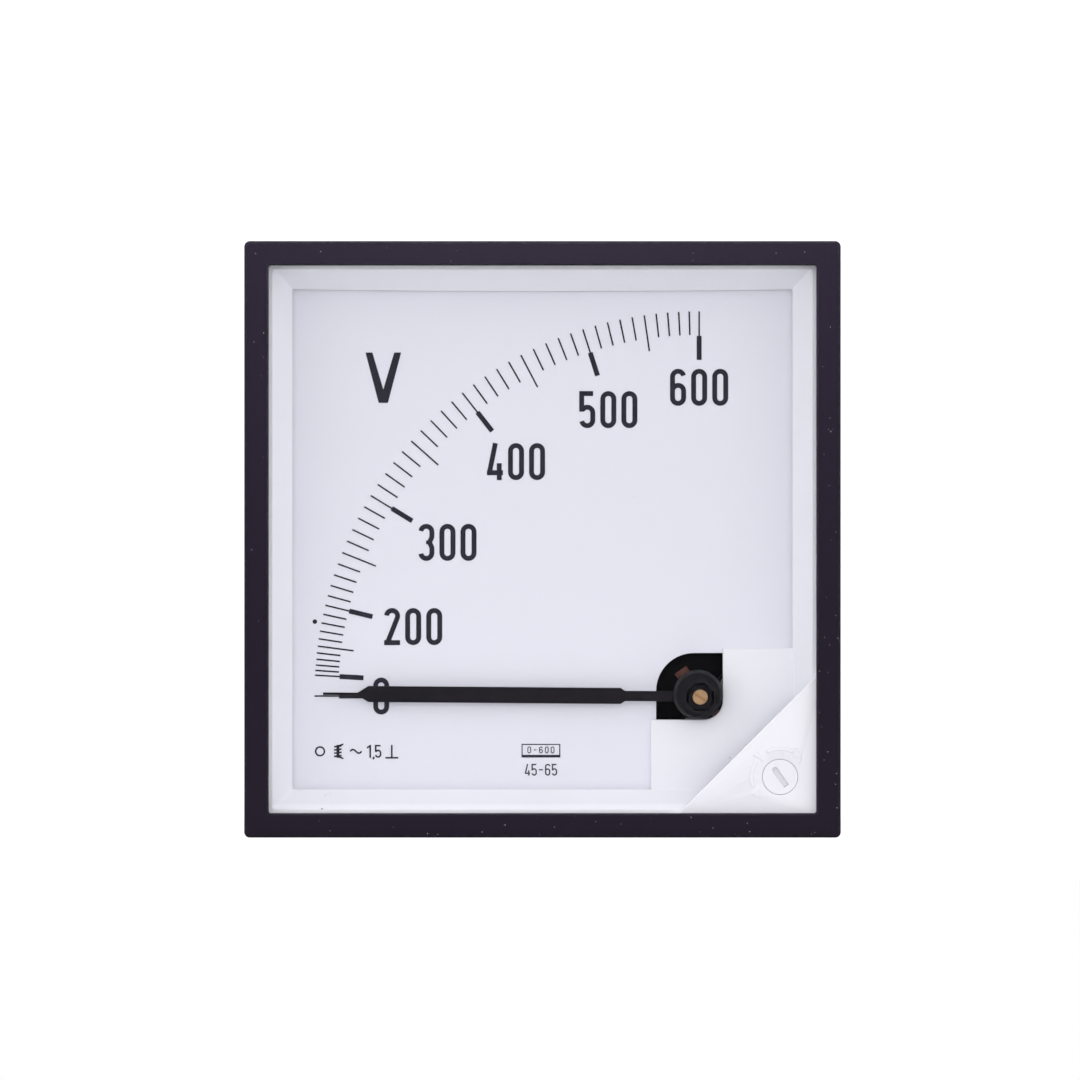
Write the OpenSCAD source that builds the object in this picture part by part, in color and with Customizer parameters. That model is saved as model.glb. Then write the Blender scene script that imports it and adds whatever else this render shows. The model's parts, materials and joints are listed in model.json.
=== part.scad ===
// Quadrant panel meter with a moving-iron movement, in millimetres.
// +X is to the right, +Y runs back through the panel and +Z is up.
// The origin is the middle of the front frame's rear face, which lies on the panel.

/* [Front frame] */
// Side of the square front frame
front_size = 96; // [90:0.5:110]
// How far the front frame stands out from the panel
front_depth = 5.5; // [5:0.1:7]
// Width of the front frame's visible face
front_face_w = 3.9; // [3.4:0.1:4.6]
// Thickness of the lip that holds the glass in
front_lip_t = 1.3; // [0.9:0.1:1.6]
// Thickness of the front frame's side walls
front_wall_t = 2.4; // [2:0.05:2.6]
// Rounding of the front frame's outer corners
front_corner_r = 0.9; // [0.4:0.1:2]
// Width of the bevel along the front edges
front_bevel = 0.3; // [0.1:0.05:0.6]

/* [Glass] */
// Thickness of the glass and the corner piece
glass_t = 2; // [1.6:0.1:2.4]
// Thickness of the gasket under the lip
gasket_t = 0.3; // [0.2:0.05:0.5]
// Play around the glass in its pocket
glass_play = 0.3; // [0.1:0.05:0.4]
// Distance of the glass's cut corner from the frame's middle, along both sides together
corner_cut = 66.3; // [62:0.1:70]

/* [Dial frame] */
// Thickness of the dial frame's flange behind the glass
flange_t = 1.5; // [1.2:0.1:1.7]
// Width of the flat band before the slope starts
ledge_w = 0.5; // [0.2:0.1:1]
// Width of the sloping side, seen from the front
slope_w = 2.95; // [2:0.05:3.4]
// Depth of the sloping side from the glass to its foot
slope_depth = 4.9; // [4.4:0.1:5.6]
// Thickness of the sloping wall
slope_wall_t = 1.2; // [0.8:0.1:1.4]
// Height of the low pad over the dial
pad_rise = 0.8; // [0.6:0.05:1.2]
// Gap between the slope's foot and the dial
foot_gap = 0.6; // [0.4:0.05:0.9]

/* [Dial] */
// Thickness of the dial plate
dial_t = 0.8; // [0.5:0.1:0.9]
// How far the dial plate runs under the dial frame's edge
dial_tuck = 1.4; // [1:0.1:1.8]
// Distance of the pivot from the frame's right side and from its bottom
pivot_inset = 22.5; // [21.5:0.1:24]
// Gap from the ends of the scale marks to the dial frame
scale_margin = 3.55; // [2.5:0.05:6]
// Length of the short marks
mark_len = 3.85; // [3:0.05:5]
// Length of the half-way marks
half_mark_len = 5.9; // [5:0.1:7]
// Length of the numbered marks with their bars
full_mark_len = 7.9; // [7:0.1:9]
// Length of the numbered marks' thin ends
full_mark_thin_len = 4; // [3:0.1:5]
// Width of the thin marks
mark_w = 0.25; // [0.15:0.01:0.4]
// Width of the bars
bar_w = 0.8; // [0.5:0.05:1.2]
// Height of the scale numerals
numeral_h = 6.03; // [5:0.01:7]
// Width of one scale numeral
numeral_w = 2.6; // [2.2:0.05:3]
// Pitch of the scale numerals
numeral_pitch = 3.43; // [3.1:0.01:4]
// Line width of the scale numerals
numeral_stroke = 0.8; // [0.5:0.05:0.9]
// Height of the unit letter
unit_h = 8.2; // [6:0.1:10]
// Width of the unit letter
unit_w = 5.8; // [4.5:0.1:7]
// Line width of the unit letter
unit_stroke = 1.25; // [0.8:0.05:1.6]
// Height of the small symbols
symbol_h = 2.1; // [1.6:0.1:2.6]
// Pitch of the small symbols
symbol_pitch = 2.92; // [2.6:0.01:3.4]
// Line width of the small symbols
symbol_stroke = 0.26; // [0.15:0.01:0.35]
// Thickness of the printing ink
ink_t = 0.06; // [0.03:0.01:0.1]

/* [Window and bearing turret] */
// Reach of the window left of the pivot and above it
window_far = 7; // [6.4:0.1:7.4]
// Reach of the window right of the pivot and below it
window_near = 3.82; // [3.6:0.02:4.2]
// Rounding of the window's top left corner
window_big_r = 6.15; // [4:0.05:6.3]
// Rounding of the window's bottom right corner
window_small_r = 3.2; // [2:0.1:3.4]
// How far the pad laps over the dial plate beside the window
pad_lap = 0.9; // [0.5:0.1:1.4]
// Radius of the turret's cap
cap_r = 4; // [3.9:0.05:4.2]
// Thickness of the turret's cap
cap_t = 1.95; // [1.7:0.05:2.1]
// Outer radius of the turret's legs
leg_r = 3.6; // [3.5:0.05:3.7]
// Thickness of the turret's legs
leg_t = 0.6; // [0.5:0.05:0.65]
// Radius of the bearing screw in the cap
bearing_screw_r = 1.2; // [1.05:0.05:1.35]

/* [Pointer] */
// Rest angle above the zero mark, in degrees
rest_lift = 0.43; // [-1:0.01:1]
// Gap from the pointer's tip to the marks' outer ends
tip_short = 1.5; // [0.5:0.1:4]
// Thickness of the pointer
pointer_t = 0.5; // [0.3:0.05:0.6]
// Distance from the pointer's middle to the dial
pointer_gap = 2.2; // [2.1:0.05:2.3]
// Width of the knife-edge blade at the tip
blade_w = 0.41; // [0.2:0.01:0.8]
// Length of the blade
blade_len = 5.6; // [4:0.1:8]
// Width of the pointer's body
beam_w = 2.6; // [1.8:0.1:3.2]
// Distance from the pivot to the body's end
beam_start = 12.8; // [10:0.1:18]
// Width of the arm that runs to the hub
arm_w = 1.65; // [1.2:0.05:1.9]
// Radius of the pointer's hub
hub_r = 1.4; // [1.2:0.05:1.6]

/* [Zero adjuster] */
// Adjuster's distance from the corner piece's sides, as a share of their length
adjuster_share = 0.288; // [0.28:0.002:0.3]
// Radius of the adjuster's head
adjuster_r = 2.84; // [2.5:0.02:3.1]
// Length of the head's slot
adjuster_slot_len = 3.6; // [2.8:0.1:4.2]
// Width of the head's slot
adjuster_slot_w = 0.87; // [0.6:0.01:1.1]
// Depth of the head's slot
adjuster_slot_depth = 0.8; // [0.5:0.05:0.9]
// Radius of the adjuster's shaft
adjuster_shaft_r = 1.5; // [1.3:0.05:1.6]
// Throw of the eccentric pin
pin_throw = 0.95; // [0.7:0.01:0.95]
// Radius of the eccentric pin
pin_r = 0.45; // [0.35:0.01:0.5]
// Thickness of the zero lever's sheet
lever_t = 0.4; // [0.3:0.05:0.45]

/* [Movement] */
// Radius of the spindle
spindle_r = 0.6; // [0.5:0.02:0.65]
// How much shorter the spindle is than the case
spindle_room = 10.7; // [9.6:0.1:11.4]
// Thickness of the movement's front plate
plate_t = 1.6; // [1.4:0.1:1.9]
// Half the side of the square that carries the coil
coil_plate_half = 15; // [14.6:0.1:15.4]
// How far the front plate runs on to the left and upward
plate_wing = 9; // [7.5:0.5:10]
// Space for the balance arms before the coil
balance_space = 4; // [3.8:0.1:4.4]
// How much shorter the coil former is than the case
coil_room = 31; // [30.5:0.5:32]
// Bore radius of the coil former
coil_bore_r = 5.5; // [5.3:0.1:5.8]
// Radius of the coil former's flanges
coil_flange_r = 12; // [11.4:0.1:12.4]
// Thickness of the former's walls
former_t = 1; // [0.8:0.05:1.2]
// Thickness of the iron vanes
vane_t = 0.5; // [0.3:0.05:0.6]
// Distance of the balance weights from the pivot
weight_reach = 10.8; // [10:0.1:11]
// Radius of the balance weights
weight_r = 1.5; // [1.2:0.05:1.55]
// Length of the balance weights
weight_len = 3; // [2:0.1:3.4]
// Radius of the pillars between the two plates
pillar_r = 1.8; // [1.6:0.05:2]
// Inner radius of the damping chamber
chamber_in_r = 7.2; // [6.8:0.1:7.6]
// Outer radius of the damping chamber
chamber_out_r = 12.8; // [12.4:0.1:13]
// Depth of the damping chamber
chamber_depth = 4; // [3.6:0.1:4.4]
// Outer radius of the hairspring
hairspring_r = 2.5; // [2.3:0.05:2.55]
// Number of turns of the hairspring
hairspring_turns = 3.5; // [2.5:0.5:4]

/* [Case] */
// How far the front frame laps over the case on each side
case_inset = 3; // [2.8:0.1:3.4]
// Depth of the case behind the panel
case_depth = 46; // [45:0.5:60]
// Thickness of the case's side walls
case_wall_t = 2; // [1.6:0.1:2.2]
// Thickness of the case's back wall
case_back_t = 2.5; // [2:0.1:3]
// Rounding of the case's long edges
case_corner_r = 2; // [1:0.1:3]
// Distance between the terminals
terminal_pitch = 30; // [26:0.5:34]
// Height of the terminals over the middle
terminal_z = 12; // [10:0.5:14]
// Radius of the terminal studs
stud_r = 2; // [1.5:0.1:2.5]
// Length of the studs behind the case
stud_reach = 14; // [12:0.5:18]
// Width of the resistor board
board_w = 40; // [39:0.5:42]
// Height of the resistor board
board_h = 24; // [22:0.5:25]
// Radius of the series resistors
resistor_r = 2.2; // [1.6:0.1:2.6]
// Length of the series resistors
resistor_len = 12; // [8:0.5:14]

/* [Hidden] */
$fn = 72;

// Colours used more than once
brass = [0.78, 0.62, 0.34];
nickel = [0.75, 0.75, 0.77];
black = [0.13, 0.12, 0.15];
ruby = [0.75, 0.1, 0.2];

// Small play between pieces that are put together
play = 0.05;
// Running gap between pieces that move past each other
run_gap = 0.3;
// Overlap that joins two shapes of one piece
sink = 0.4;
// Overshoot of a cut past a face
over = 1;

// Free space behind the cap, and behind the dial
cap_gap = 0.4;
dial_space = 2;

// Levels from front to back
y_front = -front_depth;
y_lip_back = y_front + front_lip_t;
y_glass_front = y_lip_back + gasket_t;
y_glass_back = y_glass_front + glass_t;
y_flange_back = y_glass_back + flange_t;
y_foot = y_glass_back + slope_depth;
y_dial_front = y_foot + foot_gap;
y_dial_back = y_dial_front + dial_t;
y_pad_front = y_dial_front - pad_rise;
y_pointer = y_dial_front - pointer_gap;
y_pointer_front = y_pointer - pointer_t / 2;
y_pointer_back = y_pointer + pointer_t / 2;
y_cap_back = y_pointer_front - cap_gap;
y_cap_front = y_cap_back - cap_t;
y_lever_front = y_dial_front + run_gap;
y_lever_back = y_lever_front + lever_t;
y_plate_front = y_dial_back + dial_space;
y_plate_back = y_plate_front + plate_t;
y_coil_front = y_plate_back + balance_space;
y_coil_back = y_coil_front + case_depth - coil_room;
y_rear_plate_back = y_coil_back + plate_t;
y_case_front = y_flange_back;
y_case_back = case_depth;
y_case_floor = y_case_back - case_back_t;

// Front frame, glass and dial frame
front_half = front_size / 2;
opening_half = front_half - front_face_w;
pocket_half = front_half - front_wall_t;
glass_half = pocket_half - glass_play;
gasket_hidden = 0.6;
slope_top_half = opening_half - ledge_w;
slope_foot_half = slope_top_half - slope_w;
slope_rate = slope_w / slope_depth;
dial_half = slope_foot_half + dial_tuck;
tongue_w = 10;
tongue_spread = 20;
tongue_t = 0.5;
tongue_gap = 0.05;
nose_depth = 0.4;
nose_len = 1.1;

// Case
case_half = front_half - case_inset;
collar_step = 0.4;
collar_half = case_half + collar_step;
collar_back = 4;
mouth_half = slope_top_half - slope_rate * flange_t + slope_wall_t + run_gap;
bore_half = case_half - case_wall_t;
rest_size = 6;
rest_len = 8;
clamp_slot_len = 6;
clamp_slot_w = 1.6;
clamp_slot_depth = 1;
clamp_slot_pitch = 3.2;
clamp_slot_count = 8;
clamp_slot_start = 14;
clamp_slot_z = 22;

// Pivot and adjuster
pivot_x = front_half - pivot_inset;
pivot_z = -pivot_x;
adjuster_edge = adjuster_share * (2 * glass_half - corner_cut);
adjuster_x = glass_half - adjuster_edge;
adjuster_span = (adjuster_x - pivot_x) * sqrt(2);
lever_angle = -45;

// Scale
scale_r = pivot_x + slope_foot_half - scale_margin;
// Angles of the marks 0, 100, 200 ... 600 from the zero mark, and the next that would follow
mark_angles = [0, 3.1, 13.65, 31.4, 52, 72.4, 90, 101];
scale_values = [0, 2, 3, 4, 5, 6];
// Gap between the inner end of each bar and its number
numeral_gaps = [1.66, 1.5, 1.1, 1, 1.5, 1.45];
steps_per_hundred = 10;
dot_r = 0.37;
dot_reach = 1.1;
dot_value = 1.8;
unit_inset_x = 14.75;
unit_inset_z = 14.35;
symbol_inset = 4.45;
symbol_drop = 9;
plaque_left = 25.75;
plaque_drop = 8.9;
plaque_w = 6.3;
plaque_h = 2.2;

// Pointer
pointer_angle = 180 - rest_lift;
tip_r = scale_r - tip_short;
flare_len = 1.75;
taper_len = 0.7;
hub_ring_w = 0.6;
hub_tail = 0.75;

// Turret
cap_shift = [-0.3, 0.35];
cap_bevel = 0.45;
recess_flat = 2.25;
recess_depth = 0.8;
collar_flat = 1.85;
collar_drop = 0.2;
slot_depth = 0.4;
slot_len = 1.7;
leg_sectors = [[215, 290], [-20, 65]];
foot_sectors = [[232, 272], [2, 42]];
foot_r = 6.6;
foot_t = 1.2;
foot_screw_r = 5;
bearing_screw_proud = 0.2;
bearing_screw_tail = 0.15;
bearing_screw_front = y_cap_front - bearing_screw_proud;
bearing_screw_back = y_cap_back + bearing_screw_tail;
screw_slot_w = 0.34;
screw_slot_depth = 0.45;
screw_slot_angle = -35;
jewel_r = 0.65;
jewel_t = 0.7;
jewel_pit_r = 0.42;
jewel_pit_depth = 0.45;
jewel_pit_floor_r = 0.04;
tip_clear = 0.07;
tip_round_r = 0.03;
tip_slope = 0.55;

// Zero adjuster and lever
adjuster_head_t = 1.3;
corner_boss_t = 1.1;
boss_pad_gap = 1.2;
y_boss_back = y_pad_front - boss_pad_gap;
clip_t = 0.4;
y_clip_room = y_boss_back + 2 * clip_t;
boss_room_r = adjuster_shaft_r + corner_boss_t + play;
shaft_room_r = adjuster_shaft_r + run_gap + play;
clip_w = 0.9;
clip_groove = 0.28;
arrow_shift = 0.32;
arrow_r = (adjuster_r + adjuster_edge) / 2 - arrow_shift;
arrow_w = 0.55;
arrow_rise = 0.12;
bush_r = 2.1;
bush_shoulder_r = 2.75;
bush_spigot_r = 1.75;
bush_bore_r = spindle_r + run_gap;
bush_lip = 0.12;
lever_ring_r = 2.7;
lever_arm_w = 1.6;
fork_w = 3.2;
fork_play = 0.15;
fork_start = adjuster_span - 2.5;
fork_end = adjuster_span + 2;
tab_angle = 126;
tab_r = 4.83;
tab_w = 2.3;
tab_t = 0.8;
tab_gap = 0.35;
ring_split_angle = 30;
ring_split_w = 0.7;

// Hairspring
collet_r = 1.15;
collet_t = 0.6;
spring_strip_t = 0.1;
spring_strip_w = 0.3;
spring_gap = 1.35;
y_spring = y_pointer_back + spring_gap;

// Movement
spindle_front = bearing_screw_back - jewel_pit_depth + tip_clear;
spindle_back = spindle_front + case_depth - spindle_room;
plate_edge = 2.4;
pillar_reach = coil_plate_half - plate_edge;
plate_corner_r = 2;
y_balance = y_plate_back + balance_space / 2;
hub_half_len = 0.6;
rod_end = 0.4;
balance_hub_r = 1.6;
balance_rod_r = 0.4;
balance_spread = 30;
winding_r = coil_flange_r - 0.4;
fixed_vane_out = coil_bore_r;
vane_gap = 0.6;
moving_vane_out = coil_bore_r - vane_t - vane_gap;
vane_margin = 2;
moving_vane_lead = 40;
moving_vane_span = 50;
fixed_vane_angle = 265;
fixed_vane_span = 100;
carrier_t = 0.5;
y_vane_front = y_coil_front + vane_margin + carrier_t;
y_vane_back = y_coil_back - vane_margin - carrier_t;
carrier_hub_r = 1.3;
chamber_wall_t = 0.8;
chamber_floor_t = 0.6;
chamber_wall_angle = 4;
y_chamber_floor = y_rear_plate_back + chamber_floor_t;
y_chamber_rim = y_chamber_floor + chamber_depth;
chamber_start = 51;
chamber_end = 154;
chamber_slot_inset = 1;
damping_angle = 148;
chamber_slot_w = 1.2;
damping_plate_t = 0.4;
cover_t = 0.8;
rear_tip_reach = 0.8;
rear_bridge_y = spindle_back - rear_tip_reach;
rear_bridge_t = 1.6;
rear_bridge_w = 6;
rear_bridge_reach = 12.5;
rear_foot_t = 1.2;
rear_screw_r = 1.4;
rear_screw_front = spindle_back - jewel_pit_depth + tip_clear;
rear_screw_back = rear_bridge_y + rear_bridge_t + 2.4;
locknut_flats = 5;
locknut_t = 1.4;

// Fastenings
small_screw_r = 0.7;
small_head_r = 1.2;
small_head_t = 0.6;
m3_shank_r = 1.4;
m3_head_r = 2.6;
m3_head_t = 1.7;
m3_depth = 6;
boss_r = 3.2;
pillar_screw_r = 1;
pillar_head_r = 1.9;
pillar_head_t = 0.9;
pillar_screw_len = 4;
slot_w = 0.5;
former_peg_r = 1;
former_peg_at = (coil_bore_r + coil_flange_r) / 2;
rear_foot_screw_at = rear_bridge_reach + small_head_r + play;
rear_foot_end = rear_foot_screw_at + small_head_r;

// Terminals and resistor board
terminal_boss_r = 5.5;
terminal_boss_t = 1.5;
stud_flange_r = 3.5;
stud_flange_t = 1.5;
tag_t = 0.8;
y_tag = y_case_floor - stud_flange_t - tag_t;
tag_r = 4;
tag_w = 2.4;
tag_len = 8;
nut_flat = 7;
nut_t = 2.6;
washer_r = 4.5;
washer_t = 0.8;
stud_inner_len = 4.6;
board_t = 1.6;
board_lift = 1;
y_board = y_coil_back + board_lift;
board_gap = 4;
board_x = -18;
board_bottom = terminal_z + board_gap;
board_top = board_bottom + board_h;
board_mid_z = board_bottom + board_h / 2;
board_boss_r = 2.5;
board_boss_inset = 3;
resistor_count = 3;
resistor_pitch = 10;
resistor_lead_r = 0.35;
resistor_lead_len = 2.5;
lead_end = 0.6;
resistor_lift = 0.2;
wire_r = 0.5;
wire_sides = 8;
wire_steps = 4;

// ---- Placing helpers ----

// An outline drawn in X and Z, given depth from y0 to y1
module slab(y0, y1) {
    translate([0, y1, 0])
        rotate([90, 0, 0])
            linear_extrude(y1 - y0)
                children();
}

// A round bar along Y
module bar_y(r, y0, y1) {
    translate([0, y0, 0])
        rotate([-90, 0, 0])
            cylinder(r = r, h = y1 - y0);
}

// A cone along Y
module cone_y(r0, r1, y0, y1) {
    translate([0, y0, 0])
        rotate([-90, 0, 0])
            cylinder(r1 = r0, r2 = r1, h = y1 - y0);
}

// A pipe along Y
module pipe_y(r_out, r_in, y0, y1) {
    difference() {
        bar_y(r_out, y0, y1);
        bar_y(r_in, y0 - over, y1 + over);
    }
}

// Moves shapes to the pointer's pivot
module at_pivot() {
    translate([pivot_x, 0, pivot_z])
        children();
}

// Moves shapes to the zero adjuster
module at_adjuster() {
    translate([adjuster_x, 0, -adjuster_x])
        children();
}

// Moves shapes to a place given by its X and Z
module at_place(place) {
    translate([place[0], 0, place[1]])
        children();
}

// Moves shapes to the left or the right terminal
module at_terminal(side) {
    translate([side * terminal_pitch / 2, 0, terminal_z])
        children();
}

// Turns shapes about Y, anticlockwise as seen from the front
module turn(angle) {
    rotate([0, -angle, 0])
        children();
}

// ---- Outline helpers ----

function polar(r, angle) = r * [cos(angle), sin(angle)];

function arc_points(centre, r, from, to, steps) =
    [for (i = [0 : steps]) centre + polar(r, from + (to - from) * i / steps)];

// Corner points of a rectangle with rounded corners
function soft_box(x0, z0, x1, z1, r) = concat(
    arc_points([x1 - r, z1 - r], r, 0, 90, 6),
    arc_points([x0 + r, z1 - r], r, 90, 180, 6),
    arc_points([x0 + r, z0 + r], r, 180, 270, 6),
    arc_points([x1 - r, z0 + r], r, 270, 360, 6));

function soft_square(half, r) = soft_box(-half, -half, half, half, r);

// Fills the inner corner at a point, where the free space lies the given way, leaving a round of radius r
module inner_round(corner, way, r) {
    difference() {
        translate(corner + (r - over) / 2 * way)
            square(r + over, center = true);
        translate(corner + r * way)
            circle(r);
    }
}

module box_outline(x0, z0, x1, z1) {
    translate([x0, z0])
        square([x1 - x0, z1 - z0]);
}

// A slice of the plane between two angles, reaching past radius r
module wedge(r, from, to) {
    polygon(concat([[0, 0]], arc_points([0, 0], 2 * r, from, to, 5)));
}

// A piece of a ring between two angles
module ring_sector(r_in, r_out, from, to) {
    intersection() {
        difference() {
            circle(r_out);
            circle(r_in);
        }
        wedge(r_out, from, to);
    }
}

// A straight stroke from p to q
module stroke(p, q, w) {
    d = q - p;
    translate(p)
        rotate(atan2(d[1], d[0]))
            translate([0, -w / 2])
                square([norm(d), w]);
}

// The direction square to a path at one of its points
function path_normal(path, i) =
    let (a = path[max(i - 1, 0)], b = path[min(i + 1, len(path) - 1)], d = (b - a) / norm(b - a))
    [-d[1], d[0]];

function path_beside(path, gap) =
    [for (i = [0 : len(path) - 1]) path[i] + gap * path_normal(path, i)];

function reversed(path) = [for (i = [len(path) - 1 : -1 : 0]) path[i]];

// A line of even width along a path
module pen(path, w) {
    polygon(concat(path_beside(path, -w / 2), reversed(path_beside(path, w / 2))));
}

// ---- Lettering: each numeral is a few pen lines in a cell h high and w wide ----

module numeral_0(h, w, s) {
    difference() {
        polygon(concat(
            arc_points([0, h - w / 2], w / 2, 0, 180, 12),
            arc_points([0, w / 2], w / 2, 180, 360, 12)));
        polygon(concat(
            arc_points([0, h - w / 2], w / 2 - s, 0, 180, 12),
            arc_points([0, w / 2], w / 2 - s, 180, 360, 12)));
    }
}

module numeral_1(h, w, s) {
    stroke([0.1 * w, 0], [0.1 * w, h], s);
    stroke([-0.4 * w, 0.76 * h], [0.1 * w, h - 0.5 * s], s);
}

module numeral_2(h, w, s) {
    r = (w - s) / 2;
    pen(concat(arc_points([0, h - w / 2], r, 175, -22, 14), [[0.12 * w - r, s]]), s);
    box_outline(-w / 2, 0, w / 2, s);
    stroke([s * 0.55 - w / 2, 0.5 * s], [0.2 * w - r, 1.35 * s], s);
}

module numeral_3(h, w, s) {
    r = (w - s) / 2;
    pen(concat(arc_points([0, h - w / 2], r, 172, 0, 12), [[r, 0.64 * h], [0.2 * w, 0.505 * h]]), s);
    pen(concat(arc_points([0, w / 2], r, 188, 360, 12), [[r, 0.36 * h], [0.2 * w, 0.495 * h]]), s);
    box_outline(-0.02 * w, 0.45 * h, 0.36 * w, 0.55 * h);
}

module numeral_4(h, w, s) {
    bar_z = 0.2 * h;
    upright_x = 0.27 * w;
    pen([[0.03 * w, h], [0.5 * s - w / 2, bar_z]], s);
    box_outline(-w / 2, bar_z - s / 2, w / 2, bar_z + s / 2);
    box_outline(upright_x - s / 2, 0, upright_x + s / 2, 0.455 * h);
}

module numeral_5(h, w, s) {
    r = (w - s) / 2;
    bowl_h = 0.632 * h;
    box_outline(-w / 2, h - s, 0.37 * w, h);
    box_outline(-w / 2, 0.445 * h, s - w / 2, h - s / 2);
    pen(concat(
        arc_points([0, bowl_h - w / 2], r, 150, 0, 10),
        arc_points([0, w / 2], r, 0, -170, 12)), s);
}

module numeral_6(h, w, s) {
    r = (w - s) / 2;
    bowl_h = 0.62 * h;
    pen(concat(
        arc_points([0, h - w / 2], r, 12, 180, 12),
        arc_points([0, w / 2], r, 180, 270, 6)), s);
    pen(concat(
        arc_points([0, w / 2], r, 265, 360, 6),
        arc_points([0, bowl_h - w / 2], r, 0, 165, 10)), s);
}

module dash(h, w, s) {
    box_outline(-0.35 * w, 0.5 * h - s / 2, 0.35 * w, 0.5 * h + s / 2);
}

module numeral(digit, h, w, s) {
    if (digit == "0") numeral_0(h, w, s);
    if (digit == "1") numeral_1(h, w, s);
    if (digit == "2") numeral_2(h, w, s);
    if (digit == "3") numeral_3(h, w, s);
    if (digit == "4") numeral_4(h, w, s);
    if (digit == "5") numeral_5(h, w, s);
    if (digit == "6") numeral_6(h, w, s);
    if (digit == "-") dash(h, w, s);
}

// A row of numerals whose middle is the origin
module number(digits, h, w, pitch, s) {
    for (i = [0 : len(digits) - 1])
        translate([(i - (len(digits) - 1) / 2) * pitch, -h / 2])
            numeral(digits[i], h, w, s);
}

// ---- Front ----

module front_frame() {
    color([0.16, 0.14, 0.18])
    difference() {
        union() {
            slab(y_front, 0)
                polygon(soft_square(front_half, front_corner_r));
            front_tongues();
        }
        slab(y_front - over, y_lip_back + over)
            square(2 * opening_half, center = true);
        difference() {
            slab(y_lip_back, over + collar_back + nose_len)
                square(2 * pocket_half, center = true);
            front_tongues();
        }
        for (side = [0 : 3])
            turn(90 * side)
                translate([0, y_front, front_half])
                    rotate([45, 0, 0])
                        cube([2 * front_size, front_bevel * sqrt(2), front_bevel * sqrt(2)], center = true);
    }
}

// Springy tongues that hook behind the case's collar, two on each side
module front_tongues() {
    inner = collar_half + tongue_gap;
    for (side = [0 : 3], place = [-1, 1])
        turn(90 * side)
            translate([place * tongue_spread - tongue_w / 2, 0, inner]) {
                translate([0, -front_depth / 2, 0])
                    cube([tongue_w, front_depth / 2 + collar_back + nose_len, tongue_t]);
                translate([0, collar_back + tongue_gap, -nose_depth])
                    cube([tongue_w, nose_len - tongue_gap, nose_depth + tongue_t / 2]);
            }
}

module glass_gasket() {
    color([0.2, 0.2, 0.22])
    slab(y_lip_back, y_glass_front)
        difference() {
            square(2 * glass_half, center = true);
            square(2 * (opening_half + gasket_hidden), center = true);
        }
}

// The half plane beyond the diagonal cut at the bottom right
module beyond_cut(cut) {
    polygon([[cut - front_size, -front_size], [front_size, -front_size], [front_size, front_size - cut]]);
}

module front_glass() {
    color([0.85, 0.9, 0.95, 0.25])
    slab(y_glass_front, y_glass_back)
        difference() {
            square(2 * glass_half, center = true);
            beyond_cut(corner_cut - play);
        }
}

module zero_corner() {
    color([0.93, 0.93, 0.96])
    difference() {
        union() {
            slab(y_glass_front, y_glass_back)
                intersection() {
                    square(2 * glass_half, center = true);
                    beyond_cut(corner_cut + play);
                }
            at_adjuster() {
                bar_y(adjuster_shaft_r + corner_boss_t, y_glass_back - sink, y_boss_back);
                slab(y_glass_front - arrow_rise, y_glass_front + sink)
                    turning_arrow();
            }
        }
        at_adjuster() {
            bar_y(adjuster_r + play, y_glass_front - over, y_glass_front + 2 * play + adjuster_head_t);
            bar_y(adjuster_shaft_r + play, y_glass_front, y_boss_back + over);
        }
    }
}

// A curved double arrow round the adjuster, split by a small pointer mark
module turning_arrow() {
    r_in = arrow_r - arrow_w / 2;
    r_out = arrow_r + arrow_w / 2;
    ring_sector(r_in, r_out, 62, 119);
    ring_sector(r_in, r_out, 147, 200);
    arrow_head(55, -1);
    arrow_head(213, 1);
    polygon([polar(arrow_r - 0.9, 136.5), polar(arrow_r + 1, 131.5), polar(arrow_r + 1, 141.5)]);
}

module arrow_head(angle, way) {
    polygon([
        polar(arrow_r - 0.75, angle - 3 * way),
        polar(arrow_r + 0.75, angle - 3 * way),
        polar(arrow_r + 0.1, angle + 13 * way)]);
}

module zero_adjuster() {
    head_front = y_glass_front + play;
    head_back = head_front + adjuster_head_t;
    groove_front = y_boss_back + play;
    shaft_back = y_dial_front - run_gap;
    color([0.94, 0.94, 0.97])
    at_adjuster() difference() {
        union() {
            bar_y(adjuster_r, head_front, head_back);
            bar_y(adjuster_shaft_r, head_back - sink, shaft_back);
            turn(135)
                translate([pin_throw, 0, 0])
                    bar_y(pin_r, shaft_back - sink, y_lever_back + run_gap);
        }
        slab(head_front - over, head_front + adjuster_slot_depth)
            rotate(-54)
                adjuster_slot();
        difference() {
            bar_y(adjuster_shaft_r + over, groove_front, groove_front + clip_t);
            bar_y(adjuster_shaft_r - clip_groove, groove_front - over, groove_front + over);
        }
    }
}

// A slot with one round end
module adjuster_slot() {
    straight = adjuster_slot_len - adjuster_slot_w / 2;
    translate([adjuster_slot_len / 2 - straight, -adjuster_slot_w / 2])
        square([straight, adjuster_slot_w]);
    translate([adjuster_slot_len / 2 - straight, 0])
        circle(adjuster_slot_w / 2);
}

// The snap ring that keeps the adjuster in its boss
module adjuster_clip() {
    groove_front = y_boss_back + play;
    color([0.6, 0.6, 0.62])
    at_adjuster()
        slab(groove_front, groove_front + clip_t)
            difference() {
                circle(adjuster_shaft_r + clip_w);
                circle(adjuster_shaft_r - clip_groove + play);
                wedge(2 * adjuster_shaft_r, -70, -20);
            }
}

// ---- Dial frame and dial ----

// A solid with four sloping sides, from half-width a at y0 to half-width b at y1
module slope_solid(a, b, y0, y1) {
    translate([0, y0, 0])
        rotate([-90, 0, 0])
            linear_extrude(height = y1 - y0, scale = b / a)
                square(2 * a, center = true);
}

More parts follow.
